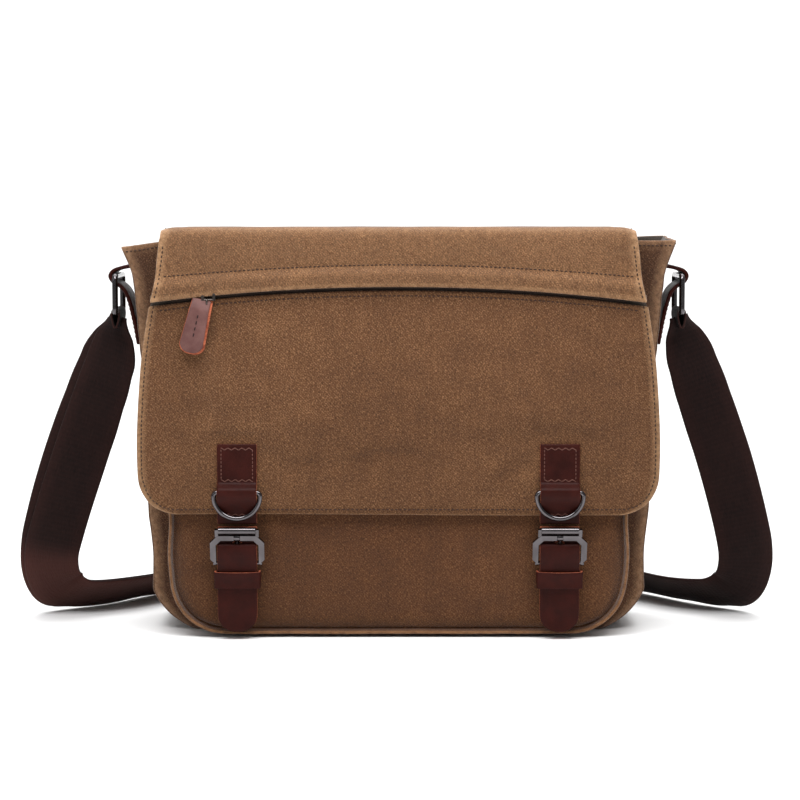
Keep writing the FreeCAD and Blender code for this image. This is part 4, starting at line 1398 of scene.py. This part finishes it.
def make_strap_loop(side, word):
    """The end of the webbing, folded over the ring's lower bar and sewn down."""
    path = smooth_path([(192.4, 204.0), (190.8, 208.0), (189.9, 213.0), (190.6, 217.0), (193.0, 218.6),
                        (195.4, 217.0), (196.1, 213.0), (195.4, 208.0), (194.2, 204.0)], 30)
    obj = folded_band("strap_end_" + word + "_webbing", side, path, 18.8, 1.1, WEBBING,
                      [-1, -0.96, -0.5, 0, 0.5, 0.96, 1], wear=lambda r, c: 0.6 * (abs(c) > 0.95))
    fit(obj, "ring_" + word, "webbing", "strap_end_loop_" + word)
    line = [(side * 196, y, 206.5) for y in (RING_Y - 15, RING_Y + 15)]
    sew_side("strap_end_stitches_" + word, obj, side, [line], "ring_" + word)


mirrored(make_strap_loop)


# ---------------------------------------------------------------- metal parts that stay as they are
METAL_NODES = ("d_ring", "buckle_frame", "roller", "prong", "snap", "side_ring", "strap_slider")


def soften(name):
    """A copy of a sharp-edged CAD node with its edges eased, to stand for that node."""
    obj = frame["nodes"][name].copy()
    obj.data = obj.data.copy()
    obj.name = name + "_eased"
    obj.parent = None
    SCENE.collection.objects.link(obj)
    weld = obj.modifiers.new("weld", "WELD")
    weld.merge_threshold = 0.00001
    flat = obj.modifiers.new("flat", "DECIMATE")
    flat.decimate_type = "DISSOLVE"
    flat.angle_limit = math.radians(2)
    edge = obj.modifiers.new("edge", "BEVEL")
    edge.width = 0.8 * MM
    edge.segments = 4
    edge.limit_method = "ANGLE"
    edge.angle_limit = math.radians(28)
    bake_modifiers(obj)
    obj.data.polygons.foreach_set("use_smooth", [True] * len(obj.data.polygons))
    obj.data.materials.clear()
    obj.data.materials.append(GUNMETAL)
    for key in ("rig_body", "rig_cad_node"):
        if key in obj:
            del obj[key]
    fit(obj, name.replace("buckle_frame", "closure"), "gunmetal", name)


def finish_metal():
    """Gives each CAD node that stays visible its metal."""
    for name in ("buckle_frame_left", "buckle_frame_right"):
        soften(name)
    for name, obj in frame["nodes"].items():
        if name.startswith(("zip_slider", "zip_pull_link")):
            finish = ZIP_METAL
        elif name.startswith(METAL_NODES):
            finish = GUNMETAL
        else:
            finish = LEATHER
        obj.data.materials.clear()
        obj.data.materials.append(finish)


finish_metal()


# ---------------------------------------------------------------- studio
def studio():
    """A white sweep, three soft lights and the photograph's camera."""
    m = Maker("studio floor")
    grain = m.noise(m.place(), 6, 2, 0.5)
    colour = m.mix(m.spread(grain, 0.3, 0.7), (0.90, 0.90, 0.90, 1), (0.93, 0.93, 0.93, 1))
    white = m.finish(colour, 0.9, Specular_IOR_Level=0.1)
    reach, back, lift = 4000.0, 2600.0, 900.0
    sweep = [(-4000.0, 0.0), (back, 0.0)]
    turns = np.linspace(0.1, math.pi / 2, 14)
    sweep += [(back + lift * math.sin(a), lift * (1 - math.cos(a))) for a in turns]
    sweep.append((back + lift, 3200.0))
    verts = [(x, y, z) for y, z in sweep for x in (-reach, reach)]
    faces = [(2 * k, 2 * k + 1, 2 * k + 3, 2 * k + 2) for k in range(len(sweep) - 1)]
    floor = add_object("floor", verts, faces, [white])

    world = bpy.data.worlds.new("studio")
    world.use_nodes = True
    tree = world.node_tree
    seen = tree.nodes.new("ShaderNodeLightPath").outputs["Is Camera Ray"]
    level = tree.nodes.new("ShaderNodeMapRange")
    level.inputs[3].default_value = 0.24
    level.inputs[4].default_value = 1.0
    tree.links.new(seen, level.inputs[0])
    tree.links.new(level.outputs[0], tree.nodes["Background"].inputs[1])
    tree.nodes["Background"].inputs[0].default_value = (1, 1, 1, 1)
    SCENE.world = world

    def lamp(name, spot, target, size_x, size_y, power):
        data = bpy.data.lights.new(name, "AREA")
        data.shape = "RECTANGLE"
        data.size, data.size_y, data.energy = size_x, size_y, power
        obj = bpy.data.objects.new(name, data)
        obj.location = spot
        obj.rotation_euler = (Vector(target) - Vector(spot)).to_track_quat("-Z", "Y").to_euler()
        obj.visible_camera = False
        SCENE.collection.objects.link(obj)

    lamp("top light", (0, -0.33, 0.72), (0, -0.04, 0.21), 0.8, 0.35, 8.0)
    lamp("left light", (-1.3, -1.0, 0.8), (0, 0, 0.12), 0.6, 0.8, 2.1)
    lamp("floor light", (0, 1.4, 2.6), (0, 2.0, 0), 4.0, 3.0, 130)

    camera = bpy.data.cameras.new("camera")
    camera.lens = 105.0
    camera.sensor_width = 36.0
    camera.clip_end = 50.0
    obj = bpy.data.objects.new("camera", camera)
    obj.location = (0.001, -1.587, 0.295)
    obj.rotation_euler = (math.radians(90 - 5.02), 0, 0)
    SCENE.collection.objects.link(obj)
    SCENE.camera = obj
    SCENE.view_settings.view_transform = "Standard"
    SCENE.view_settings.look = "None"


studio()
